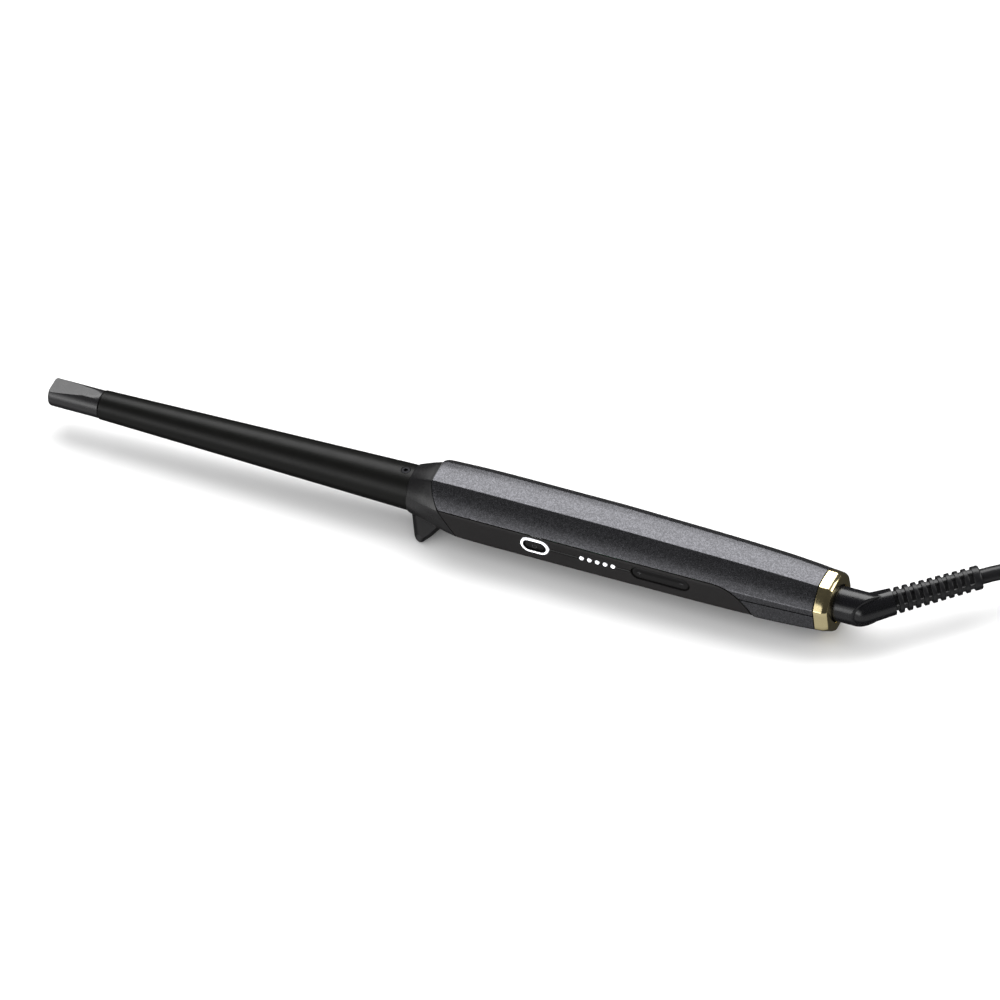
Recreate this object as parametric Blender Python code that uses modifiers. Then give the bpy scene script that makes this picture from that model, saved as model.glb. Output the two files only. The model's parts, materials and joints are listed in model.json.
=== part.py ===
"""Conical curling wand lying on its handle and rest fin, with its swivel lead put away as a hank.

Row frame: X runs along the wand from the cool tip (-X) to the lead (+X), Z is up and the controls
face -Y. The origin is on the handle's lowest flat face. The handle is built about its own axis,
with the rest fin pointing down, and is then rolled onto the facet beside the fin.
"""

import math

import bmesh
import bpy
from mathutils import Matrix, Vector

MM = 0.001
GAP = 0.3 * MM

# Handle: an octagon whose facets face the fin, the controls and so on, 45 degrees apart.
FACETS = 8
HALF_FACET = math.pi / FACETS
HANDLE_RADIUS = 17.2 * MM
APOTHEM = HANDLE_RADIUS * math.cos(HALF_FACET)
SHELL_WALL = 2.0 * MM
CUT_REACH = 24 * MM
HANDLE_FRONT = -72 * MM
FLAT_FRONT = -39 * MM
FLAT_REAR = 11 * MM
HANDLE_REAR = 110.2 * MM
FRONT_DROP = 0.9 * MM
REAR_DROP = 2.9 * MM
AXIS_SINK = 0.78 * MM
PANEL_RECESS = 0.5 * MM
SEAM_HEIGHT = -5.6 * MM
REAR_SEAM_HEIGHTS = (-9.3 * MM, -8.3 * MM)
PANEL_TAIL = ((64, -5.6), (73, -5.6), (79, -10.2), (84.5, -18))
SHELL_SCREW_X = 88 * MM
SHELL_SCREW_HEAD = 2.2 * MM
SHELL_SCREW_SHANK = 1.1 * MM
SHELL_SCREW_LENGTH = 5.4 * MM

# Barrel, cool tip and heater.
TIP_END = -254 * MM
BARREL_FRONT = -230 * MM
BARREL_TAPER_END = -84 * MM
BARREL_REAR = -72 * MM
BARREL_TIP_RADIUS = 6.5 * MM
BARREL_REAR_RADIUS = 10.05 * MM
BARREL_WALL = 1.0 * MM
TIP_RADIUS = 6.15 * MM
TIP_CORNER = 1.4 * MM
TIP_FLAT_DEPTH = 1.96 * MM
TIP_FLAT_SLOPE = math.radians(5)
SPIGOT_LENGTH = 9 * MM
SCREW_X = -86 * MM
SCREW_HEAD = 2.0 * MM
SCREW_SHANK = 1.1 * MM
SCREW_CONE = 1.0 * MM
SCREW_LENGTH = 3.4 * MM
SCREW_SINK = 0.15 * MM
HOLDER_FRONT = -96 * MM
HOLDER_REAR = -66 * MM
HOLDER_BORE = 4.0 * MM
HOLDER_FLANGE = 3.0 * MM
HEATER_FRONT = BARREL_FRONT + 12 * MM
HEATER_REAR = -112 * MM
HEATING_PLATE = (7.2 * MM, 1.2 * MM)
SENSOR_OFFSET = 4 * MM

# Collar and rest fin.
COLLAR_FRONT = -82.2 * MM
COLLAR_FRONT_RADIUS = 10.75 * MM
COLLAR_BORE = 10.35 * MM
COLLAR_CAVITY = 12.4 * MM
COLLAR_TOP_EDGE = -70.5 * MM
COLLAR_SWEEP = 14.2 * MM
FIN_THICKNESS = 6.0 * MM
FIN_NOSE = 1.0 * MM
FIN_TIP_RADIUS = APOTHEM * math.sqrt(2) - FIN_NOSE / 2
FLARE_LENGTH = 3 * MM
COLLAR_BORE_DEPTH = -90 * MM
COLLAR_SPIGOT_END = -50 * MM

# Controls, on the facet that faces -Y.
CONTROL_HEIGHT = 1.9 * MM
BUTTON_X = -19 * MM
BUTTON_SIZE = (9.3 * MM, 4.2 * MM)
RING_SIZE = (13.1 * MM, 7.9 * MM)
RING_PROUD = 0.4 * MM
RING_DEPTH = 2.3 * MM
RING_HOLE = (9.9 * MM, 4.8 * MM)
LED_X = 10.3 * MM
LED_PITCH = 3.67 * MM
LED_COUNT = 5
LED_RADIUS = 1.25 * MM
ROCKER_X = 39.8 * MM
ROCKER_SIZE = (26.6 * MM, 6.1 * MM)
ROCKER_SINK = 0.5 * MM
ROCKER_DEPTH = 1.8 * MM
ROCKER_MARGIN = 0.35 * MM
BUTTON_DEPTH = 2.4 * MM
LED_DEPTH = 3.2 * MM
PANEL_WALL = 1.7 * MM
BOARD_DEPTH = 7.6 * MM
BOARD_SIZE = (92 * MM, 1.6 * MM, 14 * MM)
BOARD_X = 16 * MM
SWITCH_SIZE = (6 * MM, 3.4 * MM)
SWITCH_TRAVEL = 0.9 * MM
SWITCH_SPREAD = 9 * MM
TRIAC_X = 2 * MM
TRIAC_SIZE = (10 * MM, 4.4 * MM, 9 * MM)
CAPACITOR_X = 24 * MM
CAPACITOR_RADIUS = 4 * MM
CAPACITOR_LENGTH = 12 * MM

# Rear end: ring, swivel and strain relief.
RING_FRONT = 110.5 * MM
RING_REAR = 117 * MM
RING_BORE = 8.3 * MM
RING_ROLL = ((0, 0), (3.0, 0.35), (5.1, 1.0), (6.1, 1.7), (6.5, 2.6))
NECK_RADIUS = 7.75 * MM
SPINDLE_RADIUS = 4.0 * MM
SPINDLE_FRONT = 84 * MM
FLANGE_FRONT = 100.4 * MM
FLANGE_REAR = 103.4 * MM
FLANGE_RADIUS = 9.6 * MM
NECK_END = 142 * MM
SOCKET_X = (97.2 * MM, 98.8 * MM, 108.5 * MM)
SOCKET_RADII = (6.6 * MM, 9.9 * MM, 11.0 * MM)
CONTACT_RINGS = (87 * MM, 93.5 * MM)
CONTACT_WIDTH = 3 * MM
CONTACT_WALL = 1.6 * MM
BRUSH_SIZE = (2.4 * MM, 2.0 * MM, 2.2 * MM)
BRUSH_HEIGHT = 7.1 * MM
ELBOW_X = 128 * MM
ELBOW_CUT_X = 131.5 * MM
ELBOW_ANGLE = math.radians(41.4)
ELBOW_CUT_ANGLE = math.radians(-38)
ELBOW_RADIUS = 6.6 * MM
OUTLET_RADIUS = 5.9 * MM
RELIEF_SMOOTH = 13.1 * MM
RIB_FIRST = 15.9 * MM
RIB_PITCH = 3.72 * MM
RIB_COUNT = 9
RIB_WIDTH = 1.9 * MM
RIB_RADII = (5.75 * MM, 5.3 * MM)
RELIEF_CORE = 4.3 * MM
RELIEF_LENGTH = 52.2 * MM
RELIEF_BAR = 2.6 * MM
RELIEF_BAR_OFFSET = 3.6 * MM
RELIEF_CAP = 3.4 * MM

# Lead: a tube to the table, then a hank of two layers of three lanes each, held by a tie.
CABLE_DIAMETER = 6.7 * MM
LANE_PITCH = 6.8 * MM
LANES = 3
LAYERS = 2
HANK_CENTRE = (239 * MM, 17.6 * MM)
HANK_RUN = 122 * MM
FOLD_RADIUS = 20.2 * MM
WAIST_HALF = 3.4 * MM
HANK_ENTRY_X = 215 * MM
TIE_WIDTH = 14 * MM
TAIL_START_X = 320 * MM
PLUG_X = 354 * MM
PLUG_OFFSET = 6 * MM
PLUG_SIZE = (34 * MM, 35 * MM, 14 * MM)
PLUG_BOOT = 16 * MM
PLUG_WAIST = (10 * MM, 12 * MM)
PLUG_SHOULDER = 20 * MM
PLUG_REAR = 6 * MM
BOOT_RADII = (4.3 * MM, 5.2 * MM)
PIN_LENGTH = 19 * MM
PIN_RADIUS = 2.0 * MM
PIN_ROUND = 0.8 * MM
PIN_SPACING = 18.2 * MM
TIE_WALL = 1.6 * MM

# Leads inside the handle, in mm: the middle of each pair, and how far each lead is from it.
LEAD_RADIUS = 0.8 * MM
SUPPLY_ROUTE = ((80.6, 0, 22.5), (70.0, 0, 21.5), (64.0, 1.0, 18.0))
SUPPLY_SPREAD = ((0, 4.5, 0), (0, 4.0, 0), (0, 4.0, 0))
HEATER_ROUTE = ((-31.0, -4.8, 15.9), (-42.0, 0, 15.9), (-62.0, 0, 15.9), (-110.0, 0, 15.9))
HEATER_SPREAD = ((0, 0, 3.0), (0, 0, 2.2), (0, 0, 2.0), (0, 0, 1.6))

CABLE_ROUTE = (
    (0.1673, 0.0340, 0.01534),
    (0.1745, 0.0402, 0.01500),
    (0.1820, 0.0452, 0.01340),
    (0.1900, 0.0486, 0.01020),
    (0.1985, 0.0505, 0.00640),
    (0.2065, 0.0513, 0.00410),
    (0.2147, 0.0514, 0.00350),
)
TAIL_ROUTE = (
    (0.3206, 0.0346, 0.01720),
    (0.3270, 0.0342, 0.01740),
    (0.3355, 0.0305, 0.01840),
    (0.3435, 0.0254, 0.01990),
    (0.3487, 0.0238, 0.02062),
    (0.3536, 0.0236, 0.02070),
)


def clear_scene():
    for obj in list(bpy.data.objects):
        bpy.data.objects.remove(obj, do_unlink=True)


def new_collection(name):
    collection = bpy.data.collections.new(name)
    bpy.context.scene.collection.children.link(collection)
    return collection


clear_scene()
PARTS = new_collection("curling_wand")
CUTTERS = new_collection("cutters")


def new_empty(name, location, roll=0.0, turn=0.0):
    empty = bpy.data.objects.new(name, None)
    empty.location = location
    empty.rotation_euler = (roll, 0, turn)
    PARTS.objects.link(empty)
    return empty


# The wand's own axes, with local -Z towards the fin, which points 45 degrees below the horizontal.
WAND = new_empty("wand_axis", (0, 0, APOTHEM), roll=-math.pi / 4)
SINK_WORLD = -AXIS_SINK / math.sqrt(2)
SWIVEL = new_empty("swivel_axis", (RING_FRONT, SINK_WORLD, APOTHEM + SINK_WORLD))
CONTROLS = new_empty("control_face", (0, -APOTHEM, APOTHEM + CONTROL_HEIGHT))
RELIEF = new_empty("relief_axis", (ELBOW_X, SINK_WORLD, APOTHEM + SINK_WORLD), turn=ELBOW_ANGLE)


def material(name, colour, roughness, metallic=0.0):
    mat = bpy.data.materials.new(name)
    mat.use_nodes = True
    shader = mat.node_tree.nodes["Principled BSDF"]
    shader.inputs["Base Color"].default_value = (*colour, 1)
    shader.inputs["Roughness"].default_value = roughness
    shader.inputs["Metallic"].default_value = metallic
    mat.diffuse_color = (*colour, 1)
    return mat


GRAPHITE = material("graphite_shell", (0.09, 0.09, 0.10), 0.35, 0.6)
PANEL_BLACK = material("panel_black", (0.03, 0.028, 0.029), 0.55)
BARREL_BLACK = material("barrel_coating", (0.012, 0.012, 0.011), 0.45, 0.3)
TIP_GREY = material("tip_grey", (0.06, 0.06, 0.065), 0.55)
GOLD = material("pale_gold", (0.85, 0.72, 0.45), 0.12, 1.0)
GLOSS_BLACK = material("gloss_black", (0.015, 0.015, 0.018), 0.25)
RUBBER = material("relief_rubber", (0.03, 0.03, 0.033), 0.5)
CABLE_BLACK = material("cable_black", (0.03, 0.03, 0.032), 0.45)
LIGHT_WHITE = material("light_white", (0.9, 0.9, 0.92), 0.3)
STEEL = material("steel", (0.55, 0.55, 0.57), 0.3, 1.0)
BRASS = material("brass", (0.75, 0.55, 0.25), 0.3, 1.0)
ALUMINIUM = material("aluminium", (0.7, 0.7, 0.72), 0.4, 1.0)
CERAMIC = material("ceramic_white", (0.8, 0.79, 0.75), 0.6)
BOARD_GREEN = material("board_green", (0.05, 0.22, 0.1), 0.4)
PART_BLACK = material("component_black", (0.02, 0.02, 0.02), 0.4)
WIRE_RED = material("wire_sleeve", (0.5, 0.05, 0.04), 0.5)


def place(obj, mat, parent=None, location=(0, 0, 0), rotation=(0, 0, 0)):
    if mat:
        obj.data.materials.append(mat)
    obj.parent = parent
    obj.location = location
    obj.rotation_euler = rotation
    return obj


def new_object(name, data, cutter=False):
    obj = bpy.data.objects.new(name, data)
    (CUTTERS if cutter else PARTS).objects.link(obj)
    if cutter:
        obj.hide_render = True
        obj.display_type = "WIRE"
    return obj


def bmesh_object(name, bm, cutter=False):
    bmesh.ops.recalc_face_normals(bm, faces=bm.faces)
    mesh = bpy.data.meshes.new(name)
    bm.to_mesh(mesh)
    bm.free()
    return new_object(name, mesh, cutter)


def smooth(obj, angle=40):
    obj.data.shade_smooth()
    obj.data.set_sharp_from_angle(angle=math.radians(angle))
    return obj


def boolean(obj, other, operation="DIFFERENCE"):
    modifier = obj.modifiers.new(f"{operation.lower()}_{other.name}", "BOOLEAN")
    modifier.operation = operation
    modifier.object = other
    modifier.solver = "EXACT"
    return obj


def bevel(obj, width, segments=2, angle=35):
    modifier = obj.modifiers.new("bevel", "BEVEL")
    modifier.width = width
    modifier.segments = segments
    modifier.limit_method = "ANGLE"
    modifier.angle_limit = math.radians(angle)
    return obj


def box(name, size, cutter=False):
    bm = bmesh.new()
    bmesh.ops.create_cube(bm, size=1, matrix=Matrix.Diagonal((*size, 1)))
    return bmesh_object(name, bm, cutter)


def turned(name, outline, steps=32, cutter=False, closed=False):
    """A solid turned about its own X. The outline's points are (x, radius), from +X to -X on the outside.

    A closed outline makes a tube. The profile is turned about Z first and the mesh's Z then becomes X.
    """
    bm = bmesh.new()
    points = [bm.verts.new((radius, 0, x)) for x, radius in outline]
    for first, second in zip(points, points[1:]):
        bm.edges.new((first, second))
    if closed:
        bm.edges.new((points[-1], points[0]))
    mesh = bpy.data.meshes.new(name)
    bm.to_mesh(mesh)
    bm.free()
    obj = new_object(name, mesh, cutter)
    screw = obj.modifiers.new("turn", "SCREW")
    screw.axis = "Z"
    screw.steps = steps
    screw.render_steps = steps
    screw.use_merge_vertices = True
    screw.merge_threshold = 1e-5
    screw.use_smooth_shade = True
    return baked(obj, Matrix.Rotation(math.pi / 2, 4, "Y"))


def baked(obj, matrix=None):
    """Replaces an object's mesh or curve by its evaluated mesh, turned by the matrix."""
    bpy.context.view_layer.update()
    evaluated = obj.evaluated_get(bpy.context.evaluated_depsgraph_get())
    mesh = bpy.data.meshes.new_from_object(evaluated)
    mesh.name = obj.name
    bm = bmesh.new()
    bm.from_mesh(mesh)
    bmesh.ops.remove_doubles(bm, verts=bm.verts, dist=1e-6)
    bm.to_mesh(mesh)
    bm.free()
    mesh.transform(matrix or Matrix.Identity(4))
    name = obj.name
    cutter = obj.hide_render
    bpy.data.objects.remove(obj, do_unlink=True)
    return new_object(name, mesh, cutter)


def plate(name, outline, thickness, cutter=False):
    """A flat outline in the object's XZ plane, with its thickness along Y."""
    curve = bpy.data.curves.new(name, "CURVE")
    curve.dimensions = "2D"
    curve.fill_mode = "BOTH"
    curve.extrude = thickness / 2
    spline = curve.splines.new("POLY")
    spline.points.add(len(outline) - 1)
    for point, (x, z) in zip(spline.points, outline):
        point.co = (x, z, 0, 1)
    spline.use_cyclic_u = True
    return baked(new_object(name, curve, cutter), Matrix.Rotation(math.pi / 2, 4, "X"))


def racetrack(length, height, steps=8):
    """An oblong outline with round ends, centred on zero."""
    radius = height / 2
    half = length / 2 - radius
    points = []
    for side, centre in ((-math.pi / 2, half), (math.pi / 2, -half)):
        for step in range(steps + 1):
            angle = side + math.pi * step / steps
            points.append((centre + radius * math.cos(angle), radius * math.sin(angle)))
    return points


def oblong(name, size, depth, y, x, mat, cutter=False):
    """An oblong block on the control face, whose middle is y behind that face."""
    obj = plate(name, racetrack(*size), depth, cutter)
    return place(obj, mat, CONTROLS, (x, y, 0))


def spline_points(route, spacing):
    """Points on a Catmull-Rom curve through the route, about the spacing apart."""
    route = [Vector(point) for point in route]
    ends = [2 * route[0] - route[1]] + route + [2 * route[-1] - route[-2]]
    points = [route[0]]
    for before, start, end, after in zip(ends, ends[1:], ends[2:], ends[3:]):
        count = max(1, round((end - start).length / spacing))
        for step in range(1, count + 1):
            t = step / count
            points.append(
                0.5
                * (
                    2 * start
                    + (end - before) * t
                    + (2 * before - 5 * start + 4 * end - after) * t**2
                    + (3 * start - before - 3 * end + after) * t**3
                )
            )
    return points


def tube(name, points, radius, mat, parent=None, resolution=2):
    curve = bpy.data.curves.new(name, "CURVE")
    curve.dimensions = "3D"
    curve.bevel_depth = radius
    curve.bevel_resolution = resolution
    curve.use_fill_caps = True
    spline = curve.splines.new("POLY")
    spline.points.add(len(points) - 1)
    for point, place_at in zip(spline.points, points):
        point.co = (*place_at, 1)
    return place(new_object(name, curve), mat, parent)


def handle_radius(x):
    """Distance from the handle's axis to an edge of its octagon."""
    if x < FLAT_FRONT:
        share = (FLAT_FRONT - x) / (FLAT_FRONT - HANDLE_FRONT)
        return HANDLE_RADIUS - FRONT_DROP * share**2
    share = max(0.0, (x - FLAT_REAR) / (HANDLE_REAR - FLAT_REAR))
    return HANDLE_RADIUS - REAR_DROP * (0.4 * share + 0.6 * share**5)


def axis_sink(x):
    """How far the handle's axis has moved towards the fin side."""
    return AXIS_SINK * max(0.0, (x - FLAT_REAR) / (HANDLE_REAR - FLAT_REAR))


def octagon(x, inset=0.0, recess=0.0):
    """The handle's section at x. The facet on the fin side can be recessed."""
    radius = handle_radius(x) - inset / math.cos(HALF_FACET)
    points = []
    for index in range(FACETS):
        angle = (2 * index + 1) * HALF_FACET
        y = -radius * math.sin(angle)
        z = -radius * math.cos(angle)
        if index in (0, FACETS - 1):
            y += math.copysign(recess, y)
            z += recess
        points.append(Vector((x, y, z - axis_sink(x))))
    return points


def loft(name, sections, cutter=False):
    """A closed solid through a row of sections that all have the same number of points."""
    bm = bmesh.new()
    rings = [[bm.verts.new(point) for point in section] for section in sections]
    for ring, following in zip(rings, rings[1:]):
        for index in range(len(ring)):
            beside = (index + 1) % len(ring)
            bm.faces.new((ring[index], ring[beside], following[beside], following[index]))
    bm.faces.new(rings[0])
    bm.faces.new(list(reversed(rings[-1])))
    return bmesh_object(name, bm, cutter)


def stations(start, end, count):
    return [start + (end - start) * index / count for index in range(count + 1)]


def handle_stations(start, end):
    inner = [x for x in stations(HANDLE_FRONT, HANDLE_REAR, 16) if start < x < end]
    inner += [x for x in (FLAT_FRONT, FLAT_REAR) if start < x < end]
    return [start] + sorted(inner) + [end]


def handle_solid(name, start, end, inset=0.0, recess=0.0, cutter=False):
    sections = [octagon(x, inset, recess) for x in handle_stations(start, end)]
    return place(loft(name, sections, cutter), None, WAND)


def collar_edge(z, offset=0.0):
    """Where the collar ends at height z: straight on the upper part, swept back below it."""
    share = max(0.0, (6 * MM - z) / (21.5 * MM))
    return COLLAR_TOP_EDGE + COLLAR_SWEEP * share**1.5 + offset


def collar_edge_points(low, high, offset):
    """Points up the collar's rear edge, as (x, z)."""
    return [(collar_edge(z, offset), z) for z in stations(low, high, 10)]


def panel_tail(offset=0.0):
    """The control panel's rear edge, from its upper seam round and down to the fin side."""
    points = []
    for t in stations(0.0, 1.0, 8):
        weights = ((1 - t) ** 3, 3 * t * (1 - t) ** 2, 3 * t**2 * (1 - t), t**3)
        x = sum(w * p[0] for w, p in zip(weights, PANEL_TAIL))
        z = sum(w * p[1] for w, p in zip(weights, PANEL_TAIL))
        points.append((x * MM + offset, z * MM))
    return points


def region(name, outline):
    """A wide block with the given side outline, used to cut the handle into its shells."""
    return place(plate(name, outline, 2.5 * CUT_REACH, cutter=True), None, WAND)


def rear_seam_start():
    """The place on the panel's rear edge where the rear seam between the shells begins."""
    return next(p for p in panel_tail() if p[1] < REAR_SEAM_HEIGHTS[0])


def make_shells():
    rear = HANDLE_REAR + MM
    tail = panel_tail()
    corner = rear_seam_start()
    upper_tail = [p for p in tail if p[1] > corner[1]] + [corner]
    front = collar_edge_points(SEAM_HEIGHT, CUT_REACH, GAP)
    upper_region = region(
        "upper_region",
        front[:1] + upper_tail + [(rear, REAR_SEAM_HEIGHTS[1]), (rear, CUT_REACH)] + front[:0:-1],
    )
    lower_tail = [(x + GAP, z - GAP) for x, z in tail if z <= corner[1]]
    lower_outline = [(rear, REAR_SEAM_HEIGHTS[1] - GAP), (rear, -CUT_REACH)]
    lower_outline.append((lower_tail[-1][0], -CUT_REACH))
    lower_region = region("lower_region", lower_outline + lower_tail[::-1])
    cavity = handle_solid("shell_cavity", HANDLE_FRONT - MM, HANDLE_REAR + MM, SHELL_WALL, cutter=True)
    for name, cutter in (("upper_shell", upper_region), ("lower_shell", lower_region)):
        shell = handle_solid(name, HANDLE_FRONT, HANDLE_REAR)
        place(shell, GRAPHITE, WAND)
        boolean(shell, cavity)
        boolean(shell, cutter, "INTERSECT")
    boolean(bpy.data.objects["lower_shell"], make_shell_screw())


def screw_outline(top, head, shank, head_height, length):
    """A pan-head screw along X whose head ends at top."""
    under = top - head_height
    return [(top, 0), (top, head), (under, head), (under, shank), (top - length, shank), (top - length, 0)]


def make_shell_screw():
    """The pan-head screw that closes the lower shell, in a counterbore on the fin side."""
    depth = handle_radius(SHELL_SCREW_X) * math.cos(HALF_FACET) + axis_sink(SHELL_SCREW_X)
    head = SHELL_SCREW_HEAD
    shank = SHELL_SCREW_SHANK
    length = SHELL_SCREW_LENGTH
    outline = screw_outline(depth - 2 * GAP, head, shank, 3 * GAP, length)
    screw = turned("shell_screw", outline, steps=16)
    place(screw, STEEL, WAND, (SHELL_SCREW_X, 0, 0), (0, math.pi / 2, 0))
    outline = screw_outline(depth + MM, head + GAP, shank + GAP, 6 * GAP + MM, length + 2 * MM)
    hole = turned("shell_screw_hole", outline, steps=16, cutter=True)
    return place(hole, None, WAND, (SHELL_SCREW_X, 0, 0), (0, math.pi / 2, 0))


def make_panel():
    tail = [(x - GAP, z - GAP) for x, z in panel_tail()]
    front = collar_edge_points(-CUT_REACH, SEAM_HEIGHT - GAP, GAP)
    outline = front[::-1] + [(tail[-1][0], -CUT_REACH)] + tail[::-1]
    panel_region = region("panel_region", outline)
    panel = handle_solid("control_panel", HANDLE_FRONT, HANDLE_REAR, recess=PANEL_RECESS)
    place(panel, PANEL_BLACK, WAND)
    cavity = handle_solid(
        "panel_cavity", HANDLE_FRONT - MM, HANDLE_REAR + MM, PANEL_WALL, PANEL_RECESS, cutter=True
    )
    boolean(panel, cavity)
    boolean(panel, panel_region, "INTERSECT")
    for cutter in make_control_holes():
        boolean(panel, cutter)


def grown(size, margin):
    return tuple(side + 2 * margin for side in size)


def led_places():
    return [LED_X + LED_PITCH * (index - (LED_COUNT - 1) / 2) for index in range(LED_COUNT)]


def make_control_holes():
    """Cutters for the openings in the control panel."""
    deep = 8 * MM
    holes = [
        oblong("light_ring_hole", grown(RING_SIZE, GAP), deep, 0, BUTTON_X, None, cutter=True),
        oblong("rocker_hole", grown(ROCKER_SIZE, ROCKER_MARGIN), deep, 0, ROCKER_X, None, cutter=True),
    ]
    for index, x in enumerate(led_places()):
        hole = turned(
            f"led_hole_{index + 1}",
            [(deep / 2, 0), (deep / 2, LED_RADIUS + GAP), (-deep / 2, LED_RADIUS + GAP), (-deep / 2, 0)],
            steps=16,
            cutter=True,
        )
        holes.append(place(hole, None, CONTROLS, (x, 0, 0), (0, 0, math.pi / 2)))
    return holes


def make_controls():
    ring_middle = RING_DEPTH / 2 - RING_PROUD
    ring = oblong("power_light_ring", RING_SIZE, RING_DEPTH, ring_middle, BUTTON_X, LIGHT_WHITE)
    hole = oblong("button_hole", RING_HOLE, 4 * RING_DEPTH, 0, BUTTON_X, None, cutter=True)
    boolean(ring, hole)
    button = oblong("power_button", BUTTON_SIZE, BUTTON_DEPTH, BUTTON_DEPTH / 2, BUTTON_X, PANEL_BLACK)
    bevel(button, 0.25 * MM)
    middle = ROCKER_SINK + ROCKER_DEPTH / 2
    rocker = oblong("temperature_rocker", ROCKER_SIZE, ROCKER_DEPTH, middle, ROCKER_X, PANEL_BLACK)
    bevel(rocker, 0.3 * MM)
    for index, x in enumerate(led_places()):
        lens = turned(
            f"indicator_lens_{index + 1}",
            [(LED_DEPTH, 0), (LED_DEPTH, LED_RADIUS), (0, LED_RADIUS), (0, 0)],
            steps=16,
        )
        place(lens, LIGHT_WHITE, CONTROLS, (x, 0, 0), (0, 0, math.pi / 2))


def make_board():
    """The circuit board behind the controls, its switches and its larger components."""
    board = box("main_board", BOARD_SIZE)
    place(board, BOARD_GREEN, CONTROLS, (BOARD_X, BOARD_DEPTH + BOARD_SIZE[1] / 2, -CONTROL_HEIGHT))
    switches = (
        ("power_switch", BUTTON_X, BUTTON_DEPTH),
        ("cooler_switch", ROCKER_X - SWITCH_SPREAD, ROCKER_SINK + ROCKER_DEPTH),
        ("warmer_switch", ROCKER_X + SWITCH_SPREAD, ROCKER_SINK + ROCKER_DEPTH),
    )
    for name, x, behind in switches:
        front = behind + SWITCH_TRAVEL
        depth = BOARD_DEPTH - GAP - front
        switch = box(name, (SWITCH_SIZE[0], depth, SWITCH_SIZE[1]))
        bevel(switch, 0.3 * MM, segments=1)
        place(switch, PART_BLACK, CONTROLS, (x, front + depth / 2, 0))
    back = BOARD_DEPTH + BOARD_SIZE[1] + GAP
    triac = box("triac", TRIAC_SIZE)
    bevel(triac, 0.5 * MM, segments=1)
    place(triac, PART_BLACK, CONTROLS, (TRIAC_X, back + TRIAC_SIZE[1] / 2, -CONTROL_HEIGHT))
    half = CAPACITOR_LENGTH / 2
    outline = [(half, 0), (half, CAPACITOR_RADIUS), (-half, CAPACITOR_RADIUS), (-half, 0)]
    capacitor = turned("capacitor", outline, steps=20)
    bevel(capacitor, 0.5 * MM, segments=1)
    place(capacitor, PART_BLACK, CONTROLS, (CAPACITOR_X, back + CAPACITOR_RADIUS, -CONTROL_HEIGHT))


def barrel_radius(x):
    share = min(1.0, (x - BARREL_FRONT) / (BARREL_TAPER_END - BARREL_FRONT))
    return BARREL_TIP_RADIUS + (BARREL_REAR_RADIUS - BARREL_TIP_RADIUS) * share


def make_cool_tip():
    """The cool tip: a spigot in the barrel, a rounded end and two finger flats, above and below."""
    spigot = BARREL_TIP_RADIUS - BARREL_WALL - GAP
    step = BARREL_FRONT - GAP
    outline = [(BARREL_FRONT + SPIGOT_LENGTH, 0), (BARREL_FRONT + SPIGOT_LENGTH, spigot)]
    outline += [(step, spigot), (step, TIP_RADIUS)]
    corner_steps = 4
    for index in range(corner_steps + 1):
        angle = math.pi / 2 * index / corner_steps
        x = TIP_END + TIP_CORNER * (1 - math.sin(angle))
        outline.append((x, TIP_RADIUS - TIP_CORNER * (1 - math.cos(angle))))
    outline.append((TIP_END, 0))
    tip = smooth(place(turned("cool_tip", outline, steps=40), TIP_GREY, WAND))
    block = Vector((60, 20, 10)) * MM
    for name, side in (("tip_flat_upper", 1), ("tip_flat_lower", -1)):
        flat = box(name, block, cutter=True)
        flat.matrix_world = (
            Matrix.Translation((TIP_END, 0, APOTHEM + side * (TIP_RADIUS - TIP_FLAT_DEPTH)))
            @ Matrix.Rotation(-side * TIP_FLAT_SLOPE, 4, "Y")
            @ Matrix.Translation((0, 0, side * block.z / 2))
        )
        boolean(tip, flat)


def make_barrel():
    rear = BARREL_REAR
    inner = [(BARREL_FRONT, barrel_radius(BARREL_FRONT)), (BARREL_TAPER_END, BARREL_REAR_RADIUS)]
    outline = [(rear, BARREL_REAR_RADIUS), inner[1], inner[0]]
    outline += [(x, radius - BARREL_WALL) for x, radius in inner]
    outline.append((rear, BARREL_REAR_RADIUS - BARREL_WALL))
    barrel = smooth(place(turned("barrel", outline, steps=48, closed=True), BARREL_BLACK, WAND))
    for cutter in make_barrel_screws():
        boolean(barrel, cutter)
        boolean(bpy.data.objects["barrel_holder"], cutter)


def make_barrel_screws():
    """Two countersunk screws through the barrel into its holder, on either side of the upper face."""
    cutters = []
    top = barrel_radius(SCREW_X) - SCREW_SINK
    cone = top - SCREW_CONE
    end = top - SCREW_LENGTH
    hole_end = end - 2 * GAP
    head = SCREW_HEAD + GAP
    shank = SCREW_SHANK + GAP
    for index, side in enumerate((-1, 1)):
        roll = side * math.radians(45)
        screw = turned(
            f"barrel_screw_{index + 1}",
            [(top, 0), (top, SCREW_HEAD), (cone, SCREW_SHANK), (end, SCREW_SHANK), (end, 0)],
            steps=16,
        )
        hole = turned(
            f"barrel_screw_hole_{index + 1}",
            [(top + MM, 0), (top + MM, head), (top, head), (cone, shank), (hole_end, shank), (hole_end, 0)],
            steps=16,
            cutter=True,
        )
        turn = Matrix.Rotation(roll, 4, "X") @ Matrix.Rotation(-math.pi / 2, 4, "Y")
        for obj, mat in ((screw, STEEL), (hole, None)):
            place(obj, mat)
            obj.matrix_world = WAND_MATRIX @ Matrix.Translation((SCREW_X, 0, 0)) @ turn
        cutters.append(hole)
    return cutters


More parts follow.
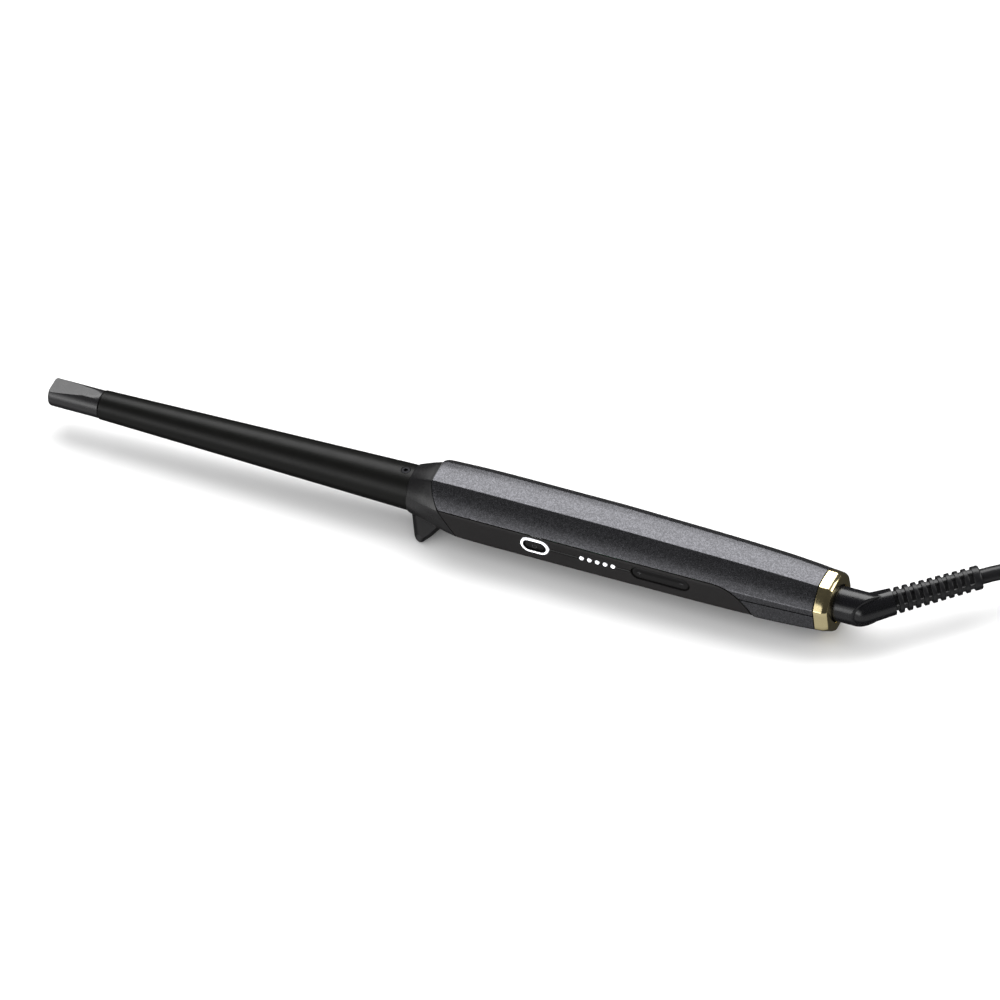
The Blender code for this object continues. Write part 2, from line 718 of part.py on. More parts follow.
def make_holder():
    """The heat-resistant sleeve that carries the barrel inside the collar."""
    sleeve = BARREL_REAR_RADIUS - BARREL_WALL - GAP
    flange = sleeve + HOLDER_FLANGE
    step = BARREL_REAR + GAP
    outline = [(HOLDER_REAR, flange), (step, flange), (step, sleeve), (HOLDER_FRONT, sleeve)]
    outline += [(HOLDER_FRONT, HOLDER_BORE), (HOLDER_REAR, HOLDER_BORE)]
    place(turned("barrel_holder", outline, steps=32, closed=True), CERAMIC, WAND)


def make_heater():
    """The two core halves in the barrel, the heating plate between them, the sensor and the fuse."""
    clearance = BARREL_WALL + 0.4 * MM
    middle = (HEATER_FRONT + HEATER_REAR) / 2
    length = HEATER_REAR - HEATER_FRONT
    for name, side in (("heater_core_upper", 1), ("heater_core_lower", -1)):
        radii = [barrel_radius(x) - clearance for x in (HEATER_REAR, HEATER_FRONT)]
        outline = [(HEATER_REAR, 0), (HEATER_REAR, radii[0]), (HEATER_FRONT, radii[1]), (HEATER_FRONT, 0)]
        core = place(turned(name, outline, steps=28), ALUMINIUM, WAND)
        half = box(f"{name}_half", (2 * length, CUT_REACH, CUT_REACH / 2), cutter=True)
        away = CUT_REACH / 4 + HEATING_PLATE[1] / 2 + GAP
        place(half, None, WAND, (middle, 0, side * away))
        boolean(core, half, "INTERSECT")
    element = box("heating_plate", (length - 4 * MM, *HEATING_PLATE))
    place(element, CERAMIC, WAND, (middle + 2 * MM, 0, 0))
    rear = HEATER_REAR + 4 * MM
    for name, length, radius, side, mat in (
        ("thermistor", 8 * MM, 1.0 * MM, 1, PART_BLACK),
        ("thermal_fuse", 10 * MM, 1.8 * MM, -1, STEEL),
    ):
        outline = [(rear + length, 0), (rear + length, radius), (rear, radius), (rear, 0)]
        place(turned(name, outline, steps=16), mat, WAND, (0, 0, side * SENSOR_OFFSET))


def collar_section(x):
    """The collar's outside: round in front, easing into the handle's octagon, later on the fin side."""
    points = []
    corners = octagon(max(x, HANDLE_FRONT), recess=PANEL_RECESS)
    per_facet = 4
    for index, corner in enumerate(corners):
        following = corners[(index + 1) % FACETS]
        for step in range(per_facet):
            target = corner.lerp(following, step / per_facet)
            target.x = x
            flare_end = max(collar_edge(target.z), COLLAR_TOP_EDGE + FLARE_LENGTH)
            share = min(1.0, (x - COLLAR_FRONT) / (flare_end - COLLAR_FRONT))
            ease = share * (1.25 - 0.25 * share**2)
            direction = Vector((0, target.y, target.z)).normalized()
            round_point = Vector((x, 0, 0)) + direction * COLLAR_FRONT_RADIUS
            points.append(round_point.lerp(target, ease))
    return points


def make_collar():
    rear = collar_edge(-APOTHEM) + MM
    collar = loft("collar", [collar_section(x) for x in stations(COLLAR_FRONT, rear, 12)])
    smooth(place(collar, PANEL_BLACK, WAND), angle=24)
    edge = collar_edge_points(-CUT_REACH, CUT_REACH, 0)
    front = COLLAR_FRONT - 2 * MM
    keep = region("collar_region", [(front, -CUT_REACH)] + edge + [(front, CUT_REACH)])
    boolean(collar, keep, "INTERSECT")
    spigot_span = (COLLAR_TOP_EDGE - FLARE_LENGTH, COLLAR_SPIGOT_END)
    spigot = handle_solid("collar_spigot", *spigot_span, SHELL_WALL + GAP, PANEL_RECESS, True)
    boolean(collar, spigot, "UNION")
    boolean(collar, make_fin(), "UNION")
    bore = turned(
        "collar_bore",
        [(0, 0), (0, COLLAR_CAVITY), (BARREL_REAR, COLLAR_CAVITY), (BARREL_REAR, COLLAR_BORE),
         (COLLAR_BORE_DEPTH, COLLAR_BORE), (COLLAR_BORE_DEPTH, 0)],
        steps=40,
        cutter=True,
    )
    boolean(collar, place(bore, None, WAND))


def fin_outline(inset, y):
    """The fin's side outline at y. The front and the tip are moved in by the inset, the rear edge isn't."""
    root = -9.5
    tip = -FIN_TIP_RADIUS / MM
    inset = inset / MM
    front = [(-81.6 + inset, root), (-77.6 + inset, tip + 2.2 + 0.35 * inset)]
    front.append((-76.4 + 0.7 * inset, tip + 0.7 + inset))
    middle = [(-74.9 + 0.5 * inset, tip + inset), (-73.8 + 0.6 * inset, tip + 0.2 + inset)]
    rear = [(-73.0 + 0.7 * inset, tip + 1.1 + inset), (-67.6, -13.5), (-67.6, root)]
    return [Vector((x * MM, y, z * MM)) for x, z in front + middle + rear]


def make_fin():
    """The triangular fin that keeps the hot barrel off the table, chamfered so that it lies flat on it."""
    half = FIN_THICKNESS / 2
    nose = FIN_NOSE / 2
    chamfer = half - nose
    rows = ((chamfer, -half), (0, -nose), (0, nose), (chamfer, half))
    fin = loft("fin_cutter", [fin_outline(inset, y) for inset, y in rows], cutter=True)
    return place(fin, None, WAND)


def make_end_ring():
    """The plated ring: the handle's octagon, which rolls in towards a bore round the swivel's neck."""
    sections = []
    for behind, shrink in RING_ROLL:
        section = octagon(HANDLE_REAR, shrink * MM)
        sections.append([Vector((RING_FRONT + behind * MM, point.y, point.z)) for point in section])
    ring = smooth(place(loft("end_ring", sections), GOLD, WAND))
    reach = 30 * MM
    outline = [(reach, 0), (reach, RING_BORE), (-reach, RING_BORE), (-reach, 0)]
    bore = place(turned("ring_bore", outline, steps=40, cutter=True), None, SWIVEL)
    boolean(ring, bore)


def on_swivel(outline):
    """An outline given at the row frame's x, as measured from the swivel axis' own origin."""
    return [(x - RING_FRONT, radius) for x, radius in outline]


def make_swivel():
    """The swivel's spindle, flange, neck and elbow in one piece."""
    outline = [
        (NECK_END, 0),
        (NECK_END, NECK_RADIUS),
        (FLANGE_REAR, NECK_RADIUS),
        (FLANGE_REAR, FLANGE_RADIUS),
        (FLANGE_FRONT, FLANGE_RADIUS),
        (FLANGE_FRONT, SPINDLE_RADIUS),
        (SPINDLE_FRONT, SPINDLE_RADIUS),
        (SPINDLE_FRONT, 0),
    ]
    neck = smooth(place(turned("swivel_neck", on_swivel(outline), steps=32), GLOSS_BLACK, SWIVEL))
    block = Vector((30, 60, 40)) * MM
    slab = box("elbow_cutter", block, cutter=True)
    slab.matrix_world = (
        Matrix.Translation((ELBOW_CUT_X, SINK_WORLD, APOTHEM))
        @ Matrix.Rotation(ELBOW_CUT_ANGLE, 4, "Z")
        @ Matrix.Translation((block.x / 2, 0, 0))
    )
    boolean(neck, slab)
    boolean(neck, make_elbow_ball(), "UNION")


def make_contacts():
    """The slip rings on the spindle, and the brush that runs on each of them."""
    outer = SPINDLE_RADIUS + CONTACT_WALL
    inner = SPINDLE_RADIUS + GAP
    for index, x in enumerate(CONTACT_RINGS):
        outline = [(x + CONTACT_WIDTH, outer), (x, outer), (x, inner), (x + CONTACT_WIDTH, inner)]
        ring = turned(f"contact_ring_{index + 1}", on_swivel(outline), steps=24, closed=True)
        place(ring, BRASS, SWIVEL)
        brush = box(f"brush_{index + 1}", BRUSH_SIZE)
        place(brush, BRASS, SWIVEL, (x + CONTACT_WIDTH / 2 - RING_FRONT, 0, BRUSH_HEIGHT))


def make_elbow_ball():
    """The elbow's outer corner and the start of the bent outlet."""
    outline = [(RELIEF_SMOOTH, 0), (RELIEF_SMOOTH, OUTLET_RADIUS), (0, ELBOW_RADIUS)]
    steps = 6
    for step in range(1, steps):
        angle = math.pi / 2 * step / steps
        outline.append((-ELBOW_RADIUS * math.sin(angle), ELBOW_RADIUS * math.cos(angle)))
    outline.append((-ELBOW_RADIUS, 0))
    return place(turned("elbow_outlet", outline, steps=28, cutter=True), None, RELIEF)


def make_socket():
    """The fixed sleeve that holds the swivel's flange, with the brushes in front of it."""
    front, lip_end, rear = SOCKET_X
    lip, inner, outer = SOCKET_RADII
    outline = [(rear, outer), (front, outer), (front, lip), (lip_end, lip), (lip_end, inner), (rear, inner)]
    socket = turned("swivel_socket", on_swivel(outline), steps=32, closed=True)
    place(socket, PART_BLACK, SWIVEL)


def relief_radius(s):
    """Outer radius of the strain relief's ribs at distance s along it."""
    share = (s - RIB_FIRST) / (RIB_PITCH * (RIB_COUNT - 1))
    return RIB_RADII[0] + (RIB_RADII[1] - RIB_RADII[0]) * share


def make_strain_relief():
    """A moulded sleeve: a core with ribs, four bars that join them, and a cap round the lead."""
    start = RELIEF_SMOOTH + GAP
    cap = RELIEF_LENGTH - RELIEF_CAP
    end_chamfer = 0.8 * MM
    outline = [(start, 0), (start, RELIEF_CORE)]
    for index in range(RIB_COUNT):
        middle = RIB_FIRST + RIB_PITCH * index
        first, last = middle - RIB_WIDTH / 2, middle + RIB_WIDTH / 2
        radius = relief_radius(middle)
        outline += [(first, RELIEF_CORE), (first, radius), (last, radius), (last, RELIEF_CORE)]
    outline += [(cap, RELIEF_CORE), (cap, RIB_RADII[1]), (RELIEF_LENGTH - end_chamfer, RIB_RADII[1])]
    outline += [(RELIEF_LENGTH, RIB_RADII[1] - end_chamfer), (RELIEF_LENGTH, 0)]
    relief = place(turned("strain_relief", outline[::-1], steps=20), RUBBER, RELIEF)
    for index in range(4):
        length = cap - start + MM
        bar = box(f"relief_bar_{index + 1}", (length, RELIEF_BAR, RELIEF_BAR), cutter=True)
        angle = math.pi / 2 * index
        across = (RELIEF_BAR_OFFSET * math.cos(angle), RELIEF_BAR_OFFSET * math.sin(angle))
        place(bar, None, RELIEF, (start + length / 2, *across), (angle, 0, 0))
        boolean(relief, bar, "UNION")


def lead_pair(name, route, spread, spacing):
    """Two leads beside each other: the route's points in mm, moved by the spread to either side."""
    for index, side in enumerate((1, -1)):
        points = [(Vector(point) + side * Vector(away)) * MM for point, away in zip(route, spread)]
        tube(f"{name}_{index + 1}", spline_points(points, spacing), LEAD_RADIUS, WIRE_RED)


def make_leads():
    """Leads inside the handle: from the brushes to the board, and from the board to the heater."""
    lead_pair("supply_lead", SUPPLY_ROUTE, SUPPLY_SPREAD, 5 * MM)
    lead_pair("heater_lead", HEATER_ROUTE, HEATER_SPREAD, 8 * MM)


def lane_half_width(x, lane):
    """Distance of a lane from the hank's middle line: full at the folds, narrow under the tie."""
    share = abs(x) / (HANK_RUN / 2)
    waist = WAIST_HALF + LANE_PITCH * lane
    fold = FOLD_RADIUS + LANE_PITCH * lane
    return waist + (fold - waist) * share**2 * (3 - 2 * share)


def hank_outline():
    """The outer edge of the hank, about its middle."""
    margin = CABLE_DIAMETER / 2
    radius = FOLD_RADIUS + LANE_PITCH * (LANES - 1) + margin
    half = HANK_RUN / 2
    edge = [(x, lane_half_width(x, LANES - 1) + margin) for x in stations(-half, half, 14)]
    points = []
    for sign in (1, -1):
        points += [(sign * x, sign * y) for x, y in edge]
        for step in range(1, 14):
            angle = math.pi * step / 14
            points.append((sign * (half + radius * math.sin(angle)), sign * radius * math.cos(angle)))
    return points


def make_hank():
    height = CABLE_DIAMETER + LANE_PITCH * (LAYERS - 1)
    middle = (HANK_CENTRE[0] + HANK_RUN / 2, HANK_CENTRE[1])
    hank = plate("cable_hank", hank_outline(), height)
    flip = Matrix.Rotation(-math.pi / 2, 4, "X")
    hank.data.transform(flip)
    place(hank, CABLE_BLACK, None, (*middle, height / 2))
    lane = CABLE_ROUTE[-1][1]
    entry = box("hank_entry", (30 * MM, CABLE_DIAMETER, CABLE_DIAMETER), cutter=True)
    place(entry, None, None, (HANK_ENTRY_X + 15 * MM, lane, CABLE_DIAMETER / 2))
    boolean(hank, entry, "UNION")
    ramp_start = middle[0] + TIE_WIDTH / 2 + MM
    ramp = box("hank_ramp", (TAIL_START_X - ramp_start, CABLE_DIAMETER, 2 * CABLE_DIAMETER), cutter=True)
    place(ramp, None, None, ((ramp_start + TAIL_START_X) / 2, TAIL_ROUTE[0][1], height))
    boolean(hank, ramp, "UNION")
    return middle, height


def make_tie(middle, height):
    """The strap round the hank's waist."""
    inner = (2 * lane_half_width(TIE_WIDTH / 2, LANES - 1) + CABLE_DIAMETER + 2 * GAP, height + GAP)
    tie = box("cable_tie", (TIE_WIDTH, inner[0] + 2 * TIE_WALL, inner[1] + TIE_WALL))
    bevel(tie, 1.0 * MM, segments=2)
    place(tie, PANEL_BLACK, None, (*middle, (inner[1] + TIE_WALL) / 2))
    hole = box("tie_hole", (2 * TIE_WIDTH, inner[0], inner[1]), cutter=True)
    place(hole, None, None, (*middle, inner[1] / 2 - GAP))
    boolean(tie, hole)


def make_plug(height):
    """A flat two-pin plug that lies on the far fold of the hank."""
    y = HANK_CENTRE[1] + PLUG_OFFSET
    z = height + GAP + PLUG_SIZE[2] / 2
    body_x = PLUG_X + PLUG_BOOT
    half = PLUG_SIZE[1] / 2
    outline = [(0, PLUG_REAR), PLUG_WAIST, (PLUG_SHOULDER, half), (PLUG_SIZE[0], half)]
    outline = [(x, -across) for x, across in outline] + outline[::-1]
    body = plate("plug_body", outline, PLUG_SIZE[2])
    body.data.transform(Matrix.Rotation(-math.pi / 2, 4, "X"))
    place(body, CABLE_BLACK, None, (body_x, y, z))
    bevel(body, 2.0 * MM, segments=2)
    boot = turned(
        "plug_boot",
        [(4 * MM, 0), (4 * MM, BOOT_RADII[1]), (-PLUG_BOOT, BOOT_RADII[0]), (-PLUG_BOOT, 0)],
        steps=20,
        cutter=True,
    )
    place(boot, None, None, (body_x, y, z))
    boolean(body, boot, "UNION")
    face = body_x + PLUG_SIZE[0]
    outline = [(PIN_LENGTH, 0), (PIN_LENGTH, PIN_RADIUS - PIN_ROUND), (PIN_LENGTH - MM, PIN_RADIUS)]
    outline += [(GAP, PIN_RADIUS), (GAP, 0)]
    for index, side in enumerate((-1, 1)):
        pin = turned(f"plug_pin_{index + 1}", outline, steps=16)
        place(pin, BRASS, None, (face, y + side * PIN_SPACING / 2, z))


def make_cable():
    step = 2.5 * CABLE_DIAMETER / 2
    radius = CABLE_DIAMETER / 2
    tube("cable", spline_points(CABLE_ROUTE, step), radius, CABLE_BLACK, resolution=3)
    tube("cable_tail", spline_points(TAIL_ROUTE, step), radius, CABLE_BLACK, resolution=3)
    middle, height = make_hank()
    make_tie(middle, height)
    make_plug(height)


bpy.context.view_layer.update()
WAND_MATRIX = WAND.matrix_world.copy()

make_cool_tip()
make_holder()
make_barrel()
make_heater()
make_collar()
make_shells()
make_panel()
make_controls()
make_board()
make_end_ring()
make_swivel()
make_socket()
make_strain_relief()
make_contacts()
make_leads()
make_cable()
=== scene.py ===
"""Looks of the curling wand: its detailed pieces, materials, light and camera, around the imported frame.

Row frame: X runs along the wand from the cool tip to the lead, Z is up and the controls face -Y.
Most pieces are built about the wand's own axis, with local -Z towards the rest fin, and then rolled.
"""
import json
import math

import bmesh
import bpy
from mathutils import Matrix, Vector


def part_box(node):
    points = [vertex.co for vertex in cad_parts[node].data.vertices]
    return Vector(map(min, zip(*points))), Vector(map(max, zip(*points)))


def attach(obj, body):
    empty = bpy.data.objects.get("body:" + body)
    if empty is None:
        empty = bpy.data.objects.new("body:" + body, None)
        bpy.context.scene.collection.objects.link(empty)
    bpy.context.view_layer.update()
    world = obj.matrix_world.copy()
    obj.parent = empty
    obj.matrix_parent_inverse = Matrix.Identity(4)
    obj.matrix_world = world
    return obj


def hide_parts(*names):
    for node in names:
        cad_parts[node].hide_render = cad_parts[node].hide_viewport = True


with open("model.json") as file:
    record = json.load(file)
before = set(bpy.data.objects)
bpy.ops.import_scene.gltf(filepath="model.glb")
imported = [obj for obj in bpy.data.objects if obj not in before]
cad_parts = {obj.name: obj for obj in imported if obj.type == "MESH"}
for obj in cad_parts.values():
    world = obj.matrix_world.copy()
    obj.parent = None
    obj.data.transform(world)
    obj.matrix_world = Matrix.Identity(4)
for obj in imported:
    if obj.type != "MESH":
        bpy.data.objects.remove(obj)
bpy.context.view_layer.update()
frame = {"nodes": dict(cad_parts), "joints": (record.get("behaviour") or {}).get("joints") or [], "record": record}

MM = 0.001
GAP = 0.3 * MM
JOINTS = {joint["name"]: joint for joint in frame["joints"]}


def middle_of(node):
    low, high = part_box(node)
    return (low + high) / 2


# Handle, as in the CAD: an octagon whose facets are 45 degrees apart.
BARREL_LOW, BARREL_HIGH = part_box("barrel")
AXIS_HEIGHT = (BARREL_LOW.z + BARREL_HIGH.z) / 2
FACETS = 8
HALF_FACET = math.pi / FACETS
HANDLE_RADIUS = 17.2 * MM
HANDLE_FRONT = -72 * MM
FLAT_FRONT = -39 * MM
FLAT_REAR = 11 * MM
HANDLE_REAR = 110.2 * MM
FRONT_DROP = 0.9 * MM
REAR_DROP = 2.9 * MM
AXIS_SINK = 0.78 * MM
FIN_RECESS = 0.5 * MM
SHELL_WALL = 1.9 * MM
SHELL_HOLE_REACH = 30 * MM
SHELL_SINK_DEPTH = 1.8 * MM
SHELL_SINK_RADIUS = 2.5 * MM
CROWN = 0.4 * MM
EDGE_ROUND = 0.7 * MM
UPPER_FACETS = range(1, 6)
PANEL_WALL = 1.7 * MM
CHANNEL_WIDTH = 1.3 * MM
CHANNEL_DEPTH = 0.45 * MM
SLEEVE_INSET = 2.3 * MM
RING_EDGE = 0.6 * MM
SEAM_HEIGHT = -5.6 * MM
REAR_SEAM_HEIGHTS = (-9.3 * MM, -8.3 * MM)
PANEL_TAIL = ((64, -5.6), (73, -5.6), (79, -10.2), (84.5, -18))
CUT_REACH = 24 * MM

# Barrel, cool tip and collar.
BARREL_RADII = (6.5 * MM, (BARREL_HIGH.z - BARREL_LOW.z) / 2)
BARREL_FRONT = BARREL_LOW.x
BARREL_REAR = BARREL_HIGH.x
BARREL_TAPER_END = -84 * MM
BARREL_WALL = 1.0 * MM
TIP_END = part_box("cool_tip")[0].x
TIP_RADIUS = 6.15 * MM
TIP_CORNER = 1.4 * MM
TIP_FLAT_DEPTH = 1.96 * MM
TIP_FLAT_SLOPE = math.radians(5)
TIP_SPIGOT = 9 * MM
TIP_CUTTER = Vector((60, 30, 10)) * MM
SCREW_X = -86 * MM
SCREW_RADIUS = 2.0 * MM
SCREW_SHANK = 1.1 * MM
SCREW_HOLE = 1.4 * MM
SCREW_LENGTH = 3.4 * MM
COLLAR_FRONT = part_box("collar")[0].x
COLLAR_RADIUS = 10.75 * MM
COLLAR_BORE = 10.35 * MM
COLLAR_CAVITY = 12.4 * MM
COLLAR_RIM = 0.25 * MM
COLLAR_TOP_EDGE = -70.5 * MM
COLLAR_SWEEP = 14.2 * MM
FLARE_LENGTH = 3 * MM
COLLAR_SPIGOT_END = -50 * MM
FIN_THICKNESS = 6 * MM
FIN_NOSE = 1.0 * MM
FIN_TIP_RADIUS = AXIS_HEIGHT * math.sqrt(2) - FIN_NOSE / 2
FIN_BULGE = 0.1 * MM
FIN_ROUND = 0.6 * MM
FIN_ROOT = -9.5 * MM
FIN_FRONT = -81.6 * MM
FIN_REAR = -67.6 * MM
FIN_REAR_FOOT = -13.5 * MM
# The fin's tip in mm: x, height over its lowest point, and the shares of an inset that move each.
FIN_CORNERS = (
    (-77.6, 2.2, 1.0, 0.35),
    (-76.4, 0.7, 0.7, 1.0),
    (-74.9, 0.0, 0.5, 1.0),
    (-73.8, 0.2, 0.6, 1.0),
    (-73.0, 1.1, 0.7, 1.0),
)

# Controls.
APOTHEM = HANDLE_RADIUS * math.cos(HALF_FACET)
FACE_Y = -APOTHEM
CONTROL_Z = middle_of("power_button").z
BUTTON_X = middle_of("power_button").x
BUTTON_SIZE = (9.3 * MM, 4.2 * MM)
RING_SIZE = (13.1 * MM, 7.9 * MM)
RING_HOLE = (9.9 * MM, 4.8 * MM)
RING_PROUD = 0.4 * MM
RING_DEPTH = 2.3 * MM
BEZEL = 0.5 * MM
LENS_RADIUS = 0.97 * MM
LED_RADIUS = 1.25 * MM
ROCKER_X = middle_of("temperature_rocker").x
ROCKER_SIZE = (26.6 * MM, 6.1 * MM)
ROCKER_SINK = 0.5 * MM
ROCKER_MARGIN = 0.45 * MM
CONTROL_CUT = 8 * MM
CUTTER_PROUD = 4 * MM

# Rear end.
RING_FRONT = 110.5 * MM
RING_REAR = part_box("end_ring")[1].x
RING_BORE = 8.3 * MM
RING_RIM = 0.5 * MM
SWIVEL_POINT = Vector(JOINTS["cord_swivel"]["pos_m"])
NECK_RADIUS = 7.75 * MM
NECK_FRONT = 103.4 * MM
FLANGE_RADIUS = 9.6 * MM
SPINDLE_RADIUS = 4.0 * MM
SPINDLE_FRONT = 84 * MM
FLANGE_THICKNESS = 3 * MM
NECK_END = 142 * MM
NECK_CUTTER = Vector((30, 60, 40)) * MM
ELBOW_X = 128 * MM
ELBOW_CUT_X = 131.5 * MM
ELBOW_CUT_ANGLE = math.radians(-38)
ELBOW_ANGLE = math.radians(41.4)
ELBOW_RADIUS = 6.6 * MM
OUTLET_RADIUS = 5.9 * MM
RELIEF_SMOOTH = 13.1 * MM
RIB_FIRST = 15.9 * MM
RIB_PITCH = 3.72 * MM
RIB_COUNT = 9
RIB_WIDTH = 1.9 * MM
RIB_FILLET = 0.25 * MM
BAR_WIDTH = 2.6 * MM
BAR_DISTANCE = 3.6 * MM
RIB_RADII = (5.75 * MM, 5.3 * MM)
RELIEF_CORE = 4.0 * MM
RELIEF_LENGTH = 52.2 * MM
RELIEF_CAP = 3.4 * MM

# Lead, as in the CAD.
CABLE_DIAMETER = 6.7 * MM
LANE_PITCH = 6.8 * MM
LANES = 3
HANK_CENTRE = (239 * MM, 17.6 * MM)
HANK_RUN = 122 * MM
FOLD_RADIUS = 20.2 * MM
WAIST_HALF = 3.4 * MM
TIE_WIDTH = 14 * MM
CABLE_ROUTE = (
    (0.1673, 0.0340, 0.01534),
    (0.1745, 0.0402, 0.01500),
    (0.1820, 0.0452, 0.01340),
    (0.1900, 0.0486, 0.01020),
    (0.1985, 0.0505, 0.00640),
    (0.2065, 0.0513, 0.00410),
    (0.2147, 0.0514, 0.00350),
)
TAIL_ROUTE = (
    (0.3206, 0.0346, 0.01720),
    (0.3270, 0.0342, 0.01740),
    (0.3355, 0.0305, 0.01840),
    (0.3435, 0.0254, 0.01990),
    (0.3487, 0.0238, 0.02062),
    (0.3536, 0.0236, 0.02070),
)

# Plug, in mm from the lead's end to the face: along, half width, half height and squareness.
PLUG_ROWS = (
    (0.0, 4.2, 4.2, 2.0), (0.6, 4.6, 4.6, 2.0), (14.0, 5.4, 5.3, 2.1), (17.0, 6.6, 5.9, 2.3),
    (21.0, 9.8, 6.5, 2.7), (26.0, 13.2, 6.8, 3.2), (31.0, 15.6, 6.95, 3.8), (35.0, 16.6, 7.0, 4.4),
    (40.0, 17.0, 7.0, 5.0), (45.0, 17.3, 7.0, 5.0), (49.2, 17.4, 7.0, 5.0), (49.8, 17.1, 6.8, 5.0),
    (50.0, 16.6, 6.4, 5.0),
)
# Ribs, in mm: start, end, how many and how deep the grooves are.
GRIP_RIBS = (30.0, 45.0, 6, 0.45)
BOOT_RIBS = (1.5, 13.0, 4, 0.35)

WAND = Matrix.Translation((0, 0, AXIS_HEIGHT)) @ Matrix.Rotation(-math.pi / 4, 4, "X")
SWIVEL = Matrix.Translation(SWIVEL_POINT)
RELIEF = Matrix.Translation((ELBOW_X, SWIVEL_POINT.y, SWIVEL_POINT.z))
RELIEF = RELIEF @ Matrix.Rotation(ELBOW_ANGLE, 4, "Z")
CONTROLS = Matrix.Translation((0, FACE_Y, CONTROL_Z))


# ---------------------------------------------------------------- shapes

def spline_points(route, spacing):
    """Points on a Catmull-Rom curve through the route, about the spacing apart."""
    route = [Vector(point) for point in route]
    ends = [2 * route[0] - route[1]] + route + [2 * route[-1] - route[-2]]
    points = [route[0]]
    for before, start, end, after in zip(ends, ends[1:], ends[2:], ends[3:]):
        count = max(1, round((end - start).length / spacing))
        for step in range(1, count + 1):
            t = step / count
            square = 2 * before - 5 * start + 4 * end - after
            cube = 3 * start - before - 3 * end + after
            points.append(0.5 * (2 * start + (end - before) * t + square * t**2 + cube * t**3))
    return points


def stations(start, end, count):
    return [start + (end - start) * index / count for index in range(count + 1)]


def arc_between(start, corner, end, steps):
    """Points on a smooth bend from start to end that leans on the corner."""
    points = []
    for t in stations(0.0, 1.0, steps):
        points.append(start * (1 - t) ** 2 + corner * (2 * t * (1 - t)) + end * t**2)
    return points


def rounded(outline, radius, steps=4, closed=False):
    """The outline with each corner rounded. A point may carry its own radius as a third number."""
    points = [Vector(point[:2]) for point in outline]
    radii = [point[2] if len(point) > 2 else radius for point in outline]
    result = []
    for index, point in enumerate(points):
        if radii[index] <= 0 or (not closed and index in (0, len(points) - 1)):
            result.append(point)
            continue
        first = points[index - 1] - point
        second = points[(index + 1) % len(points)] - point
        reach = min(radii[index], 0.45 * first.length, 0.45 * second.length)
        start = point + first.normalized() * reach
        end = point + second.normalized() * reach
        result += arc_between(start, point, end, steps)
    return result


def new_object(name, data):
    obj = bpy.data.objects.new(name, data)
    bpy.context.scene.collection.objects.link(obj)
    return obj


def mesh_object(name, bm, matrix=None):
    bmesh.ops.remove_doubles(bm, verts=bm.verts, dist=1e-6)
    bmesh.ops.recalc_face_normals(bm, faces=bm.faces)
    mesh = bpy.data.meshes.new(name)
    bm.to_mesh(mesh)
    bm.free()
    if matrix:
        mesh.transform(matrix)
    return new_object(name, mesh)


def ring_loft(bm, rings, wrap=False):
    """Faces between rows of vertices. A row of one is a pole. With wrap, the last row meets the first."""
    pairs = list(zip(rings, rings[1:]))
    if wrap:
        pairs.append((rings[-1], rings[0]))
    for ring, following in pairs:
        count = max(len(ring), len(following))
        for index in range(count):
            beside = (index + 1) % count
            corners = [ring[index % len(ring)], ring[beside % len(ring)]]
            corners += [following[beside % len(following)], following[index % len(following)]]
            unique = list(dict.fromkeys(corners))
            if len(unique) > 2:
                bm.faces.new(unique)


def turned(name, outline, steps=64, matrix=None, closed=False):
    """A solid turned about X. The outline's points are (x, radius)."""
    bm = bmesh.new()
    rings = []
    for x, radius in (point[:2] for point in outline):
        if radius < 1e-7:
            rings.append([bm.verts.new((x, 0, 0))])
            continue
        ring = []
        for step in range(steps):
            angle = 2 * math.pi * step / steps
            ring.append(bm.verts.new((x, radius * math.sin(angle), radius * math.cos(angle))))
        rings.append(ring)
    ring_loft(bm, rings, wrap=closed)
    return mesh_object(name, bm, matrix)


def loft(name, sections, matrix=None, wrap=False):
    """A closed solid through sections that all have the same number of points."""
    bm = bmesh.new()
    rings = [[bm.verts.new(point) for point in section] for section in sections]
    ring_loft(bm, rings, wrap)
    if not wrap:
        bm.faces.new(rings[0])
        bm.faces.new(list(reversed(rings[-1])))
    return mesh_object(name, bm, matrix)


def prism(name, outline, low, high, matrix):
    """A flat outline of (x, z) points given a thickness along Y."""
    sections = [[Vector((point[0], y, point[1])) for point in outline] for y in (low, high)]
    return loft(name, sections, matrix)


def block(name, size, matrix, edge=0.0):
    """A box about its own centre, with rounded edges if an edge radius is given."""
    bm = bmesh.new()
    bmesh.ops.create_cube(bm, size=1, matrix=Matrix.Diagonal((*size, 1)))
    if edge:
        bmesh.ops.bevel(bm, geom=bm.edges[:], offset=edge, segments=2, profile=0.5, affect="EDGES")
    return mesh_object(name, bm, matrix)


def round_row(row, x, radius, sink=0.0):
    """A circle at x whose points lie in the same directions from the handle's axis as the row's."""
    around = [Vector((0, point.y, point.z + sink)).normalized() * radius for point in row]
    return [Vector((x, point.y, point.z - sink)) for point in around]


def racetrack(length, height, steps=16):
    """An oblong outline with round ends, centred on zero."""
    radius = height / 2
    half = length / 2 - radius
    points = []
    for side, centre in ((-math.pi / 2, half), (math.pi / 2, -half)):
        for step in range(steps + 1):
            angle = side + math.pi * step / steps
            points.append((centre + radius * math.cos(angle), radius * math.sin(angle)))
    return points


def applied(obj):
    """Turns the object's modifiers into its mesh."""
    bpy.context.view_layer.update()
    evaluated = obj.evaluated_get(bpy.context.evaluated_depsgraph_get())
    mesh = bpy.data.meshes.new_from_object(evaluated)
    obj.modifiers.clear()
    obj.data = mesh
    return obj


